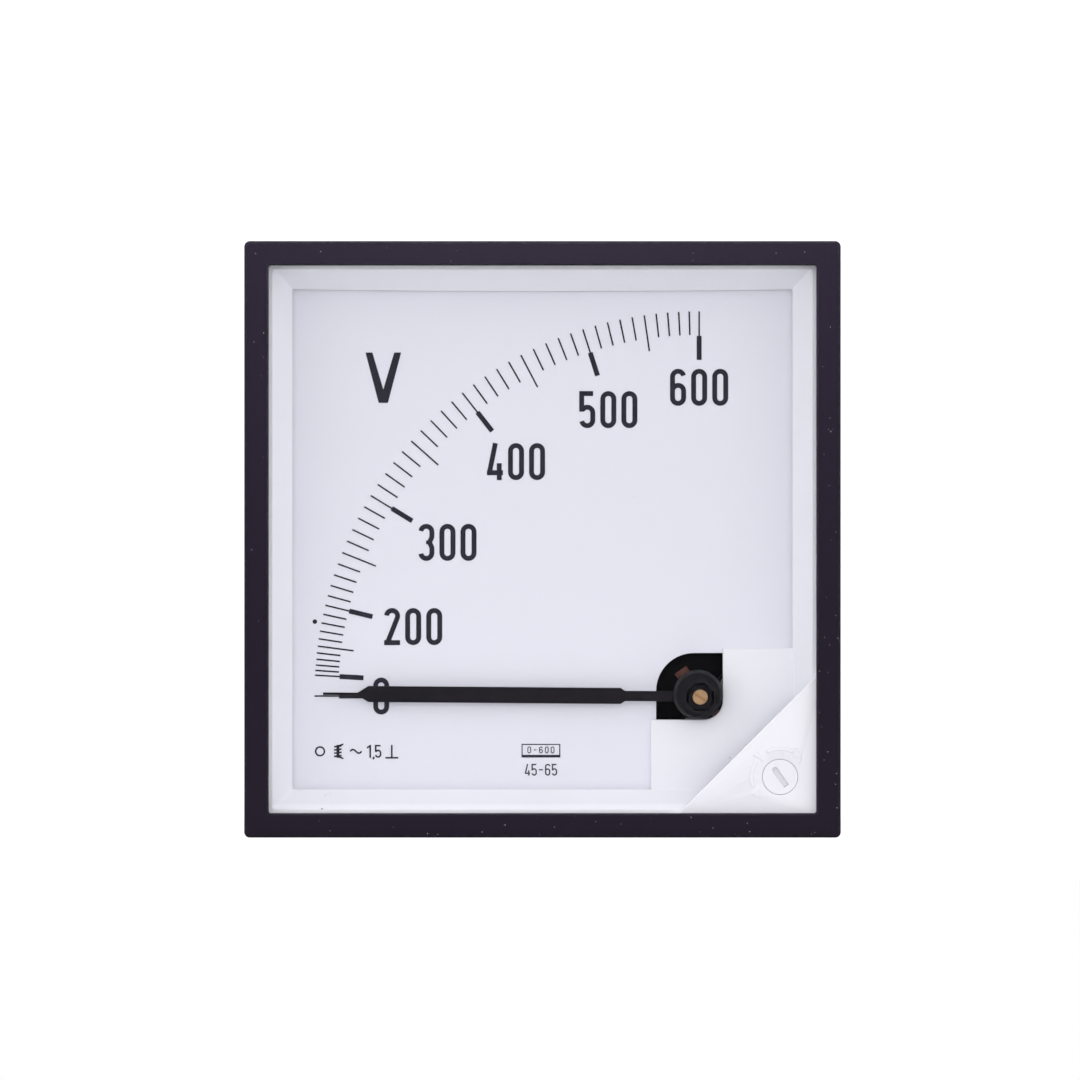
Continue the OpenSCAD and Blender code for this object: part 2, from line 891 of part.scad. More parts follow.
// The pad's outline beside and below the window
module pad_outline() {
    reach = slope_foot_half + slope_wall_t / 2;
    pad_left = pivot_x - window_far - pad_lap;
    pad_top = pivot_z + window_far + pad_lap - 0.1;
    difference() {
        box_outline(pad_left, -reach, reach, pad_top);
        translate([pivot_x, pivot_z])
            difference() {
                box_outline(-front_size, -window_near, window_near, front_size);
                inner_round([window_near, -window_near], [-1, 1], window_small_r);
            }
        translate([adjuster_x, -adjuster_x])
            circle(shaft_room_r);
    }
}

module dial_frame() {
    ahead = 0.5;
    behind = 1;
    foot_peg = 1.2;
    peg_at = slope_foot_half + slope_wall_t / 2;
    color([0.88, 0.88, 0.93])
    union() {
        difference() {
            union() {
                slab(y_glass_back, y_flange_back)
                    square(2 * glass_half, center = true);
                slope_solid(slope_top_half + slope_wall_t, slope_foot_half + slope_wall_t,
                    y_glass_back, y_foot);
            }
            slope_solid(slope_top_half + slope_rate * ahead, slope_foot_half - slope_rate * behind,
                y_glass_back - ahead, y_foot + behind);
            at_adjuster() {
                bar_y(boss_room_r, y_glass_back - over, y_clip_room);
                cone_y(boss_room_r, shaft_room_r, y_clip_room, y_foot);
                bar_y(shaft_room_r, y_foot - sink, y_foot + behind);
            }
        }
        slab(y_pad_front, y_dial_front)
            pad_outline();
        for (peg = [[-1, 1], [-1, -1], [1, 1]])
            slab(y_foot - sink, y_dial_front)
                translate(peg_at * peg)
                    square(foot_peg, center = true);
    }
}

module dial_plate() {
    color([0.89, 0.89, 0.95])
    slab(y_dial_front, y_dial_back)
        difference() {
            square(2 * dial_half, center = true);
            translate([pivot_x, pivot_z])
                difference() {
                    box_outline(-window_far, -front_size, front_size, window_far);
                    inner_round([-window_far, window_far], [1, -1], window_big_r);
                }
        }
}

// A smooth curve through four values, from b at 0 to c at 1
function smooth_between(a, b, c, d, t) =
    b + t * (c - a) / 2 + t * t * (2 * a - 5 * b + 4 * c - d) / 2 + t * t * t * (3 * b - a - 3 * c + d) / 2;

// Angle from the zero mark of a value given in hundreds
function value_angle(v) =
    let (i = min(floor(v), len(mark_angles) - 3))
    i < 1
    ? mark_angles[0] + v * (mark_angles[1] - mark_angles[0])
    : smooth_between(mark_angles[i - 1], mark_angles[i], mark_angles[i + 1], mark_angles[i + 2], v - i);

// Printing lies on the dial's front face
module printed() {
    color([0.19, 0.18, 0.23])
    slab(y_dial_front - ink_t, y_dial_front)
        children();
}

// One thin mark from the outer end of the scale inward
module mark(v, len) {
    rotate(180 - value_angle(v))
        box_outline(scale_r - len, -mark_w / 2, scale_r, mark_w / 2);
}

module full_mark(v) {
    mark(v, full_mark_thin_len);
    rotate(180 - value_angle(v))
        box_outline(scale_r - full_mark_len, -bar_w / 2, scale_r - full_mark_thin_len, bar_w / 2);
}

module scale_marks() {
    first = steps_per_hundred;
    last = steps_per_hundred * (len(mark_angles) - 2);
    printed()
        translate([pivot_x, pivot_z]) {
            full_mark(0);
            for (step = [first : last])
                if (step % steps_per_hundred == 0)
                    full_mark(step / steps_per_hundred);
                else
                    mark(step / steps_per_hundred,
                        step * 2 % steps_per_hundred == 0 ? half_mark_len : mark_len);
            rotate(180 - value_angle(dot_value))
                translate([scale_r + dot_reach, 0])
                    circle(dot_r);
        }
}

module scale_numerals() {
    printed()
        translate([pivot_x, pivot_z])
            for (i = [0 : len(scale_values) - 1])
                scale_number(scale_values[i], numeral_gaps[i]);
}

// A number centred on its mark's ray, its box the given gap inside the bar
module scale_number(value, gap) {
    digits = value == 0 ? "0" : str(value * 100);
    angle = value_angle(value);
    half_w = ((len(digits) - 1) * numeral_pitch + numeral_w) / 2;
    reach = half_w * cos(angle) + numeral_h / 2 * sin(angle);
    translate(polar(scale_r - full_mark_len - gap - reach, 180 - angle))
        number(digits, numeral_h, numeral_w, numeral_pitch, numeral_stroke);
}

module unit_mark() {
    foot = 0.6 * unit_stroke;
    edge = unit_w / 2;
    lift = 1.75 * unit_stroke;
    printed()
        translate([unit_inset_x - slope_foot_half, slope_foot_half - unit_inset_z - unit_h / 2])
            polygon([
                [-edge, unit_h], [-foot, 0], [foot, 0], [edge, unit_h],
                [edge - unit_stroke * 0.9, unit_h], [0, lift], [unit_stroke * 0.9 - edge, unit_h]]);
}

// A plain ring, a moving-iron sign, a wave, the class number and an upright sign, left to right
module dial_symbols() {
    printed()
        translate([symbol_inset - slope_foot_half, pivot_z - symbol_drop]) {
            ring_sign();
            translate([symbol_pitch, 0])
                moving_iron_sign();
            translate([2 * symbol_pitch, 0])
                wave_sign();
            translate([3 * symbol_pitch, 0])
                class_number();
            translate([4 * symbol_pitch, 0])
                upright_sign();
        }
    printed()
        translate([pivot_x - plaque_left, pivot_z - plaque_drop])
            range_plaque();
}

module ring_sign() {
    difference() {
        circle(0.4 * symbol_h);
        circle(0.4 * symbol_h - symbol_stroke);
    }
}

module moving_iron_sign() {
    turns = 4;
    step = symbol_h / turns;
    stroke([0, -symbol_h / 2], [0, symbol_h / 2], 1.8 * symbol_stroke);
    for (i = [0 : turns - 1])
        stroke([-0.3 * symbol_h, (i - 1.6) * step], [0.28 * symbol_h, (i - 1.3) * step],
            symbol_stroke);
    for (end = [-1, 1])
        stroke(symbol_h * [0.05, 0.42 * end], symbol_h * [0.42, 0.56 * end], symbol_stroke);
}

module wave_sign() {
    steps = 16;
    half = 0.45 * symbol_h;
    path = [for (i = [0 : steps]) [half * (2 * i / steps - 1), 0.14 * symbol_h * sin(360 * i / steps)]];
    pen(path, symbol_stroke);
}

module class_number() {
    w = 0.5 * symbol_h;
    shift = 0.33 * symbol_h;
    translate([-shift, -symbol_h / 2])
        numeral_1(symbol_h, w, symbol_stroke);
    stroke(symbol_h * [0, -0.42], symbol_h * [-0.04, -0.62], symbol_stroke);
    translate([shift, -symbol_h / 2])
        numeral_5(symbol_h, w, symbol_stroke);
}

module upright_sign() {
    stroke([-0.5 * symbol_h, -symbol_h / 2], [0.5 * symbol_h, -symbol_h / 2], symbol_stroke);
    stroke([0, -symbol_h / 2], [0, symbol_h / 2], symbol_stroke);
}

// A framed range number with a second plain number under it
module range_plaque() {
    rim = 0.16;
    foot = 0.42;
    small_h = 1.1;
    lower_h = 1.9;
    lower_drop = 3.1;
    difference() {
        square([plaque_w, plaque_h], center = true);
        box_outline(rim - plaque_w / 2, foot - plaque_h / 2, plaque_w / 2 - rim, plaque_h / 2 - rim);
    }
    translate([0, foot / 2 - rim / 2])
        number("0-600", small_h, 0.6, 0.95, 0.14);
    translate([0, -lower_drop])
        number("45-65", lower_h, 0.85, 1.1, 0.2);
}

// ---- Case ----

module case() {
    color(black)
    difference() {
        union() {
            case_shell();
            case_posts();
            for (side = [-1, 1])
                at_terminal(side)
                    bar_y(terminal_boss_r, y_case_back - sink, y_case_back + terminal_boss_t);
        }
        for (side = [-1, 1])
            at_terminal(side)
                bar_y(stud_r + play, y_case_floor - over, y_case_back + terminal_boss_t + over);
        for (place = movement_screw_places())
            at_place(place)
                bar_y(m3_shank_r + play, y_plate_back - over, y_plate_back + m3_depth + over);
        for (x = board_boss_places())
            translate([x, 0, board_mid_z])
                bar_y(pillar_screw_r + play, y_board, y_board + board_t + pillar_screw_len + over);
    }
}

module case_shell() {
    difference() {
        union() {
            slab(y_case_front, y_case_back)
                polygon(soft_square(case_half, case_corner_r));
            slab(y_case_front, collar_back)
                polygon(soft_square(collar_half, case_corner_r));
        }
        slab(y_case_front - over, y_dial_back)
            square(2 * mouth_half, center = true);
        slab(y_dial_back - over, y_case_floor)
            square(2 * bore_half, center = true);
        for (side = [-1, 1], row = [-1, 1], i = [0 : clamp_slot_count - 1])
            translate([side * case_half, clamp_slot_start + i * clamp_slot_pitch, row * clamp_slot_z])
                cube([2 * clamp_slot_depth, clamp_slot_w, clamp_slot_len], center = true);
    }
}

// Screw bosses for the movement and the board, and the blocks that the dial plate rests on
module case_posts() {
    for (place = movement_screw_places())
        at_place(place)
            bar_y(boss_r, y_plate_back, y_case_floor + sink);
    for (x = board_boss_places())
        translate([x, 0, board_mid_z])
            bar_y(board_boss_r, y_board + board_t, y_case_floor + sink);
    for (corner = [[-1, 1], [-1, -1], [1, 1]])
        at_place((bore_half - rest_size / 2 + sink) * corner)
            slab(y_dial_back, y_dial_back + rest_len)
                square(rest_size, center = true);
}

function movement_screw_places() =
    let (near = coil_plate_half - 3, far = coil_plate_half + plate_wing - 3)
    [
        [pivot_x - far, pivot_z - near],
        [pivot_x - far, pivot_z + far],
        [pivot_x + near, pivot_z + far]
    ];

function board_boss_places() =
    [for (side = [-1, 1]) board_x + side * (board_w / 2 - board_boss_inset)];

// ---- Bearing turret ----

module front_bridge() {
    color(black)
    at_pivot() difference() {
        union() {
            turret_cap();
            for (sector = leg_sectors)
                slab(y_cap_back - sink, y_plate_front)
                    ring_sector(leg_r - leg_t, leg_r, sector[0], sector[1]);
            for (sector = foot_sectors)
                slab(y_plate_front - foot_t, y_plate_front)
                    ring_sector(leg_r - leg_t, foot_r, sector[0], sector[1]);
        }
        bar_y(bearing_screw_r + play, y_cap_front - over, y_cap_back + over);
        for (place = bridge_screw_places())
            at_place(place)
                bar_y(small_screw_r + play, y_plate_front - foot_t - over, y_plate_front + over);
    }
}

function bridge_screw_places() =
    [for (sector = foot_sectors) polar(foot_screw_r, (sector[0] + sector[1]) / 2)];

// The cap: a bevelled disc with an eight-sided recess, a collar and four slots
module turret_cap() {
    difference() {
        translate([cap_shift[0], 0, cap_shift[1]]) {
            cone_y(cap_r - cap_bevel, cap_r, y_cap_front, y_cap_front + cap_bevel);
            bar_y(cap_r, y_cap_front + cap_bevel, y_cap_back);
        }
        difference() {
            slab(y_cap_front - over, y_cap_front + recess_depth)
                octagon(recess_flat);
            slab(y_cap_front + collar_drop, y_cap_front + recess_depth + over)
                octagon(collar_flat);
        }
        for (side = [0 : 3])
            turn(90 * side)
                slab(y_cap_front + recess_depth - over, y_cap_front + recess_depth + slot_depth)
                    box_outline(collar_flat, -slot_len / 2, recess_flat, slot_len / 2);
    }
}

// An eight-sided outline by its distance from middle to flat
module octagon(flat) {
    rotate(22.5)
        circle(flat / cos(22.5), $fn = 8);
}

module slotted_screw(head_r, head_t, shank_r, y_head, y_end) {
    difference() {
        union() {
            bar_y(head_r, y_head - head_t, y_head);
            bar_y(shank_r, y_head - sink, y_end);
        }
        translate([0, y_head - head_t, 0])
            cube([3 * head_r, head_t, slot_w], center = true);
    }
}

module bridge_screws() {
    color(nickel)
    at_pivot()
        for (place = bridge_screw_places())
            at_place(place)
                slotted_screw(small_head_r, small_head_t, small_screw_r,
                    y_plate_front - foot_t, y_plate_back - play);
}

// The conical pit in a jewel's face, for a face that looks back (way 1) or to the front (way -1)
module jewel_pit(y_face, way) {
    if (way > 0)
        cone_y(jewel_pit_floor_r, jewel_pit_r, y_face - jewel_pit_depth, y_face);
    else
        cone_y(jewel_pit_r, jewel_pit_floor_r, y_face, y_face + jewel_pit_depth);
}

module front_bearing_screw() {
    color(brass)
    at_pivot() difference() {
        bar_y(bearing_screw_r, bearing_screw_front, bearing_screw_back);
        bar_y(jewel_r, bearing_screw_back - jewel_t, bearing_screw_back + over);
        turn(screw_slot_angle)
            translate([0, bearing_screw_front, 0])
                cube([3 * bearing_screw_r, 2 * screw_slot_depth, screw_slot_w], center = true);
    }
}

module front_jewel() {
    color(ruby)
    at_pivot() difference() {
        bar_y(jewel_r, bearing_screw_back - jewel_t, bearing_screw_back);
        jewel_pit(bearing_screw_back, 1);
    }
}

// ---- Moving system ----

// One long edge of the pointer from the hub to the tip
function pointer_edge(side) =
    let (shoulder = tip_r - blade_len)
    [
        [hub_r / 2, side * arm_w / 2],
        [beam_start - taper_len, side * arm_w / 2],
        [beam_start, side * beam_w / 2],
        [shoulder - flare_len, side * beam_w / 2],
        [shoulder, side * blade_w / 2],
        [tip_r, side * blade_w / 2]
    ];

module pointer() {
    color(black)
    at_pivot()
        turn(pointer_angle)
            slab(y_pointer_front, y_pointer_back)
                difference() {
                    union() {
                        circle(hub_r + hub_ring_w);
                        polygon(concat(pointer_edge(-1), reversed(pointer_edge(1))));
                    }
                    circle(hub_r);
                }
}

module pointer_hub() {
    color(black)
    at_pivot()
        pipe_y(hub_r, spindle_r, y_pointer_front, y_pointer_back + hub_tail);
}

module spindle() {
    shoulder_gap = 0.2;
    front_shoulder = bearing_screw_back + shoulder_gap;
    back_shoulder = spindle_back - (front_shoulder - spindle_front);
    neck_r = tip_round_r + tip_slope * (front_shoulder - spindle_front);
    color(nickel)
    at_pivot() {
        cone_y(tip_round_r, neck_r, spindle_front, front_shoulder);
        bar_y(spindle_r, front_shoulder, back_shoulder);
        cone_y(neck_r, tip_round_r, back_shoulder, spindle_back);
    }
}

module hairspring_collet() {
    color(brass)
    at_pivot()
        pipe_y(collet_r, spindle_r, y_spring - collet_t / 2, y_spring + collet_t / 2);
}

// A flat spiral that ends at the lever's tab
module hairspring() {
    steps_per_turn = 24;
    steps = steps_per_turn * hairspring_turns;
    start_r = collet_r + spring_strip_t / 2;
    outer_r = hairspring_r - spring_strip_t / 2;
    start_angle = tab_angle - 360 * hairspring_turns;
    spiral = [for (i = [0 : steps])
        polar(start_r + (outer_r - start_r) * i / steps, start_angle + 360 * i / steps_per_turn)];
    color([0.8, 0.55, 0.35])
    at_pivot()
        slab(y_spring - spring_strip_w / 2, y_spring + spring_strip_w / 2) {
            pen(spiral, spring_strip_t);
            stroke(polar(outer_r - spring_strip_t / 2, tab_angle), polar(tab_r - tab_t / 2, tab_angle),
                spring_strip_t);
        }
}

// The sheet lever that carries the spring's outer end and takes the adjuster's pin
module zero_lever() {
    ring_in = bush_r + play;
    slot_half = pin_r + fork_play;
    color([0.6, 0.4, 0.28])
    at_pivot() {
        slab(y_lever_front, y_lever_back)
            difference() {
                union() {
                    circle(lever_ring_r);
                    rotate(lever_angle) {
                        box_outline(bush_r, -lever_arm_w / 2, fork_start + over, lever_arm_w / 2);
                        box_outline(fork_start, -fork_w / 2, fork_end, fork_w / 2);
                    }
                    rotate(tab_angle)
                        box_outline(bush_r, -tab_w / 2, tab_r + tab_t / 2, tab_w / 2);
                }
                circle(ring_in);
                rotate(lever_angle)
                    box_outline(fork_start + sink, -slot_half, fork_end + over, slot_half);
                rotate(ring_split_angle)
                    box_outline(ring_in - over, -ring_split_w / 2, lever_ring_r + over, ring_split_w / 2);
            }
        slab(y_pointer_back + tab_gap, y_lever_back)
            rotate(tab_angle)
                box_outline(tab_r - tab_t / 2, -tab_w / 2, tab_r + tab_t / 2, tab_w / 2);
    }
}

// The turned bush that the zero lever grips
module lever_bush() {
    lip_t = 0.25;
    color(brass)
    at_pivot() difference() {
        union() {
            bar_y(bush_r + bush_lip, y_lever_front - lip_t - play, y_lever_front - play);
            bar_y(bush_r, y_lever_front - play, y_lever_back + play);
            bar_y(bush_shoulder_r, y_lever_back + play, y_plate_front);
            bar_y(bush_spigot_r, y_plate_front, y_plate_back);
        }
        bar_y(bush_bore_r, 0, y_plate_back + over);
    }
}

module balance_arms() {
    rod_len = weight_reach + weight_len / 2 + rod_end - spindle_r;
    color(nickel)
    at_pivot() difference() {
        union() {
            bar_y(balance_hub_r, y_balance - hub_half_len, y_balance + hub_half_len);
            for (side = [-1, 1])
                turn(180 + pointer_angle + side * balance_spread)
                    translate([spindle_r + play, y_balance, 0])
                        rotate([0, 90, 0])
                            cylinder(r = balance_rod_r, h = rod_len);
        }
        bar_y(spindle_r, y_plate_back, y_coil_front);
    }
}

module balance_weights() {
    color(brass)
    at_pivot()
        for (side = [-1, 1])
            turn(180 + pointer_angle + side * balance_spread)
                translate([weight_reach - weight_len / 2, y_balance, 0])
                    rotate([0, 90, 0])
                        difference() {
                            cylinder(r = weight_r, h = weight_len);
                            translate([0, 0, -over])
                                cylinder(r = balance_rod_r, h = weight_len + 2 * over);
                        }
}

// The outline that the moving vane and its carriers share, from radius r outward
module vane_sector(r) {
    middle = pointer_angle + moving_vane_lead;
    ring_sector(r, moving_vane_out, middle - moving_vane_span / 2, middle + moving_vane_span / 2);
}

module moving_vane() {
    color([0.45, 0.46, 0.5])
    at_pivot()
        slab(y_vane_front, y_vane_back)
            vane_sector(moving_vane_out - vane_t);
}

// Two light sector plates that hold the moving vane on the spindle
module vane_carriers() {
    color(nickel)
    at_pivot()
        for (y = [y_vane_front - carrier_t, y_vane_back])
            slab(y, y + carrier_t)
                difference() {
                    union() {
                        circle(carrier_hub_r);
                        vane_sector(spindle_r);
                    }
                    circle(spindle_r);
                }
}

module damping_vane() {
    y_mid = (y_chamber_floor + y_chamber_rim) / 2;
    color(nickel)
    at_pivot() difference() {
        union() {
            bar_y(balance_hub_r, y_mid - hub_half_len, y_mid + hub_half_len);
            turn(damping_angle) {
                translate([spindle_r, y_mid - run_gap / 2, -damping_plate_t / 2])
                    cube([chamber_in_r + over - spindle_r, run_gap, damping_plate_t]);
                translate([chamber_in_r + run_gap, y_chamber_floor + run_gap, -damping_plate_t / 2])
                    cube([chamber_out_r - chamber_in_r - 2 * run_gap, chamber_depth - 2 * run_gap,
                        damping_plate_t]);
            }
        }
        bar_y(spindle_r, y_chamber_floor, y_chamber_rim);
    }
}

// ---- Fixed parts of the movement ----

module movement_plate() {
    half = coil_plate_half;
    color(black)
    difference() {
        slab(y_plate_front, y_plate_back)
            translate([pivot_x, pivot_z])
                difference() {
                    polygon(soft_box(-half - plate_wing, -half, half, half + plate_wing, plate_corner_r));
                    circle(bush_spigot_r + play);
                    for (place = bridge_screw_places())
                        translate(place)
                            circle(small_screw_r + play);
                    for (corner = pillar_places())
                        translate(corner)
                            circle(pillar_screw_r + play);
                }
        for (place = movement_screw_places())
            at_place(place)
                bar_y(m3_shank_r + play, y_plate_front - over, y_plate_back + over);
    }
}

function pillar_places() =
    [for (corner = [[-1, -1], [1, -1], [1, 1], [-1, 1]]) pillar_reach * corner];

module movement_screws() {
    color(nickel)
    for (place = movement_screw_places())
        at_place(place)
            slotted_screw(m3_head_r, m3_head_t, m3_shank_r, y_plate_front, y_plate_back + m3_depth);
}

module plate_pillars() {
    hole_len = pillar_screw_len + play;
    color(brass)
    at_pivot()
        for (corner = pillar_places())
            at_place(corner)
                difference() {
                    bar_y(pillar_r, y_plate_back, y_coil_back);
                    bar_y(pillar_screw_r + play, y_plate_back - over, y_plate_back + hole_len);
                    bar_y(pillar_screw_r + play, y_coil_back - hole_len, y_coil_back + over);
                }
}

module pillar_screws() {
    color(nickel)
    at_pivot()
        for (corner = pillar_places())
            at_place(corner) {
                slotted_screw(pillar_head_r, pillar_head_t, pillar_screw_r,
                    y_plate_front, y_plate_back + pillar_screw_len);
                translate([0, y_plate_front + y_rear_plate_back, 0])
                    rotate([180, 0, 0])
                        slotted_screw(pillar_head_r, pillar_head_t, pillar_screw_r,
                            y_plate_front, y_plate_back + pillar_screw_len);
            }
}

module rear_plate() {
    half = coil_plate_half;
    color(black)
    slab(y_coil_back, y_rear_plate_back)
        translate([pivot_x, pivot_z])
            difference() {
                polygon(soft_box(-half, -half, half, half, plate_corner_r));
                circle(bush_r);
                for (corner = pillar_places())
                    translate(corner)
                        circle(pillar_screw_r + play);
                for (side = [-1, 1])
                    translate([0, side * former_peg_at])
                        circle(former_peg_r + play);
                for (side = [-1, 1])
                    translate([side * rear_foot_screw_at, 0])
                        circle(small_screw_r + play);
            }
}

module coil_former() {
    color([0.85, 0.82, 0.7])
    at_pivot() {
        difference() {
            union() {
                bar_y(coil_bore_r + former_t, y_coil_front, y_coil_back);
                bar_y(coil_flange_r, y_coil_front, y_coil_front + former_t);
                bar_y(coil_flange_r, y_coil_back - former_t, y_coil_back);
                for (side = [-1, 1])
                    translate([0, 0, side * former_peg_at])
                        bar_y(former_peg_r, y_coil_back - sink, y_rear_plate_back);
            }
            bar_y(coil_bore_r, y_coil_front - over, y_rear_plate_back + over);
        }
    }
}

module coil_winding() {
    color([0.72, 0.4, 0.22])
    at_pivot()
        pipe_y(winding_r, coil_bore_r + former_t + play,
            y_coil_front + former_t + play, y_coil_back - former_t - play);
}

// The iron vane fixed in the former's bore, cut slanting so that it narrows along the travel
module fixed_vane() {
    slant = 12;
    color([0.5, 0.51, 0.55])
    at_pivot() difference() {
        slab(y_coil_front + vane_margin, y_coil_back - vane_margin)
            ring_sector(fixed_vane_out - vane_t, fixed_vane_out,
                fixed_vane_angle - fixed_vane_span / 2, fixed_vane_angle + fixed_vane_span / 2);
        translate([0, y_coil_back - vane_margin, 0])
            rotate([0, 0, slant])
                translate([-2 * coil_bore_r, 0, -2 * coil_bore_r])
                    cube([4 * coil_bore_r, 2 * coil_bore_r, 4 * coil_bore_r]);
    }
}

// The outline of the damping chamber with its walls
module chamber_outline() {
    ring_sector(chamber_in_r - chamber_wall_t, chamber_out_r + chamber_wall_t,
        chamber_start - chamber_wall_angle, chamber_end + chamber_wall_angle);
}

module damping_chamber() {
    slot_mid = (y_chamber_floor + y_chamber_rim) / 2;
    color(black)
    at_pivot() difference() {
        slab(y_rear_plate_back, y_chamber_rim)
            chamber_outline();
        slab(y_chamber_floor, y_chamber_rim + over)
            ring_sector(chamber_in_r, chamber_out_r, chamber_start, chamber_end);
        slab(slot_mid - chamber_slot_w / 2, slot_mid + chamber_slot_w / 2)
            ring_sector(chamber_in_r - 2 * chamber_wall_t, chamber_in_r + chamber_wall_t,
                chamber_start + chamber_slot_inset, chamber_end - chamber_slot_inset);
    }
}

module damping_cover() {
    color(nickel)
    at_pivot()
        slab(y_chamber_rim, y_chamber_rim + cover_t)
            chamber_outline();
}

// A folded strip over the back of the movement that holds the rear bearing
module rear_bridge() {
    reach = rear_bridge_reach;
    inner = reach - rear_bridge_t;
    leg_len = rear_bridge_y + rear_bridge_t - y_rear_plate_back;
    color(nickel)
    at_pivot() difference() {
        union() {
            translate([-reach, rear_bridge_y, -rear_bridge_w / 2])
                cube([2 * reach, rear_bridge_t, rear_bridge_w]);
            for (side = [0, 180])
                turn(side)
                    translate([inner, y_rear_plate_back, -rear_bridge_w / 2]) {
                        cube([rear_bridge_t, leg_len, rear_bridge_w]);
                        cube([rear_foot_end - inner, rear_foot_t, rear_bridge_w]);
                    }
        }
        bar_y(rear_screw_r + play, rear_bridge_y - over, rear_bridge_y + rear_bridge_t + over);
        for (side = [-1, 1])
            translate([side * rear_foot_screw_at, 0, 0])
                bar_y(small_screw_r + play, y_rear_plate_back - over,
                    y_rear_plate_back + rear_foot_t + over);
    }
}

module rear_bridge_screws() {
    color(nickel)
    at_pivot()
        for (side = [-1, 1])
            translate([side * rear_foot_screw_at, 2 * y_rear_plate_back + rear_foot_t, 0])
                rotate([180, 0, 0])
                    slotted_screw(small_head_r, small_head_t, small_screw_r,
                        y_rear_plate_back, y_rear_plate_back + rear_foot_t + plate_t - play);
}

module rear_bearing_screw() {
    color(brass)
    at_pivot() difference() {
        bar_y(rear_screw_r, rear_screw_front, rear_screw_back);
        bar_y(jewel_r, rear_screw_front - over, rear_screw_front + jewel_t);
        translate([0, rear_screw_back, 0])
            cube([3 * rear_screw_r, 2 * screw_slot_depth, screw_slot_w], center = true);
    }
}

module rear_locknut() {
    color(nickel)
    at_pivot()
        slab(rear_bridge_y + rear_bridge_t, rear_bridge_y + rear_bridge_t + locknut_t)
            hex_ring(locknut_flats, rear_screw_r + play);
}

module rear_jewel() {
    color(ruby)
    at_pivot() difference() {
        bar_y(jewel_r, rear_screw_front, rear_screw_front + jewel_t);
        jewel_pit(rear_screw_front, -1);
    }
}

// ---- Terminals and resistor board ----

// A six-sided nut outline by its width across flats
module hex_ring(flats, hole_r) {
    difference() {
        circle(flats / 2 / cos(30), $fn = 6);
        circle(hole_r);
    }
}

module terminal_stud(side) {
    color(brass)
    at_terminal(side) {
        bar_y(stud_r, y_case_floor - stud_flange_t - stud_inner_len, y_case_back + stud_reach);
        bar_y(stud_flange_r, y_case_floor - stud_flange_t, y_case_floor);
    }
}

module terminal_stud_left() {
    terminal_stud(-1);
}

module terminal_stud_right() {
    terminal_stud(1);
}

module solder_tags() {
    color([0.78, 0.76, 0.7])
    for (side = [-1, 1])
        at_terminal(side)
            slab(y_tag, y_tag + tag_t)
                difference() {
                    union() {
                        circle(tag_r);
                        rotate(side < 0 ? 90 : 180)
                            box_outline(0, -tag_w / 2, tag_len, tag_w / 2);
                    }
                    circle(stud_r + play);
                }
}

module inner_nuts() {
    color(brass)
    for (side = [-1, 1])
        at_terminal(side)
            slab(y_tag - nut_t, y_tag)
                hex_ring(nut_flat, stud_r + play);
}

// Two washers on each stud, one under each nut
module terminal_washers() {
    y_seat = y_case_back + terminal_boss_t;
    color([0.82, 0.8, 0.75])
    for (side = [-1, 1], y = [y_seat, y_seat + washer_t + nut_t])
        at_terminal(side)
            pipe_y(washer_r, stud_r + play, y, y + washer_t);
}

module terminal_nuts() {
    y_seat = y_case_back + terminal_boss_t + washer_t;
    color(brass)
    for (side = [-1, 1], y = [y_seat, y_seat + nut_t + washer_t])
        at_terminal(side)
            slab(y, y + nut_t)
                hex_ring(nut_flat, stud_r + play);
}

function resistor_places() =
    [for (i = [0 : resistor_count - 1]) board_x + (i - (resistor_count - 1) / 2) * resistor_pitch];

module resistor_board() {
    color([0.55, 0.4, 0.22])
    slab(y_board, y_board + board_t)
        difference() {
            box_outline(board_x - board_w / 2, board_bottom, board_x + board_w / 2, board_top);
            for (x = board_boss_places())
                translate([x, board_mid_z])
                    circle(pillar_screw_r + play);
            for (x = resistor_places(), side = [-1, 1])
                translate([x, board_mid_z + side * (resistor_len / 2 + resistor_lead_len)])
                    circle(resistor_lead_r + 2 * play);
        }
}

module series_resistors() {
    y_mid = y_board - resistor_lift - resistor_r;
    lead_z = resistor_len / 2 + resistor_lead_len;
    color([0.45, 0.5, 0.42])
    for (x = resistor_places())
        translate([x, 0, board_mid_z]) {
            translate([0, y_mid, -resistor_len / 2])
                cylinder(r = resistor_r, h = resistor_len);
            translate([0, y_mid, -lead_z])
                cylinder(r = resistor_lead_r - play, h = 2 * lead_z);
            for (side = [-1, 1])
                translate([0, 0, side * lead_z])
                    bar_y(resistor_lead_r, y_mid - resistor_lead_r, y_board + board_t + lead_end);
        }
}

module board_screws() {
    color(nickel)
    for (x = board_boss_places())
        translate([x, 0, board_mid_z])
            slotted_screw(pillar_head_r, pillar_head_t, pillar_screw_r,
                y_board, y_board + board_t + pillar_screw_len);
}

// ---- Wires ----

function unit_of(v) = v / norm(v);

function smooth_points(points) =
    [for (i = [0 : len(points) - 2], s = [0 : wire_steps - 1])
        let (t = s / wire_steps, a = points[max(i - 1, 0)], d = points[min(i + 2, len(points) - 1)])
        smooth_between(a, points[i], points[i + 1], d, t)];

// The points of one ring of the tube, square to the path
function tube_ring(path, i, side_hint) =
    let (
        t = unit_of(path[min(i + 1, len(path) - 1)] - path[max(i - 1, 0)]),
        u = unit_of(cross(t, side_hint)),
        v = cross(u, t))
    [for (k = [0 : wire_sides - 1])
        path[i] + wire_r * (cos(360 * k / wire_sides) * u + sin(360 * k / wire_sides) * v)];

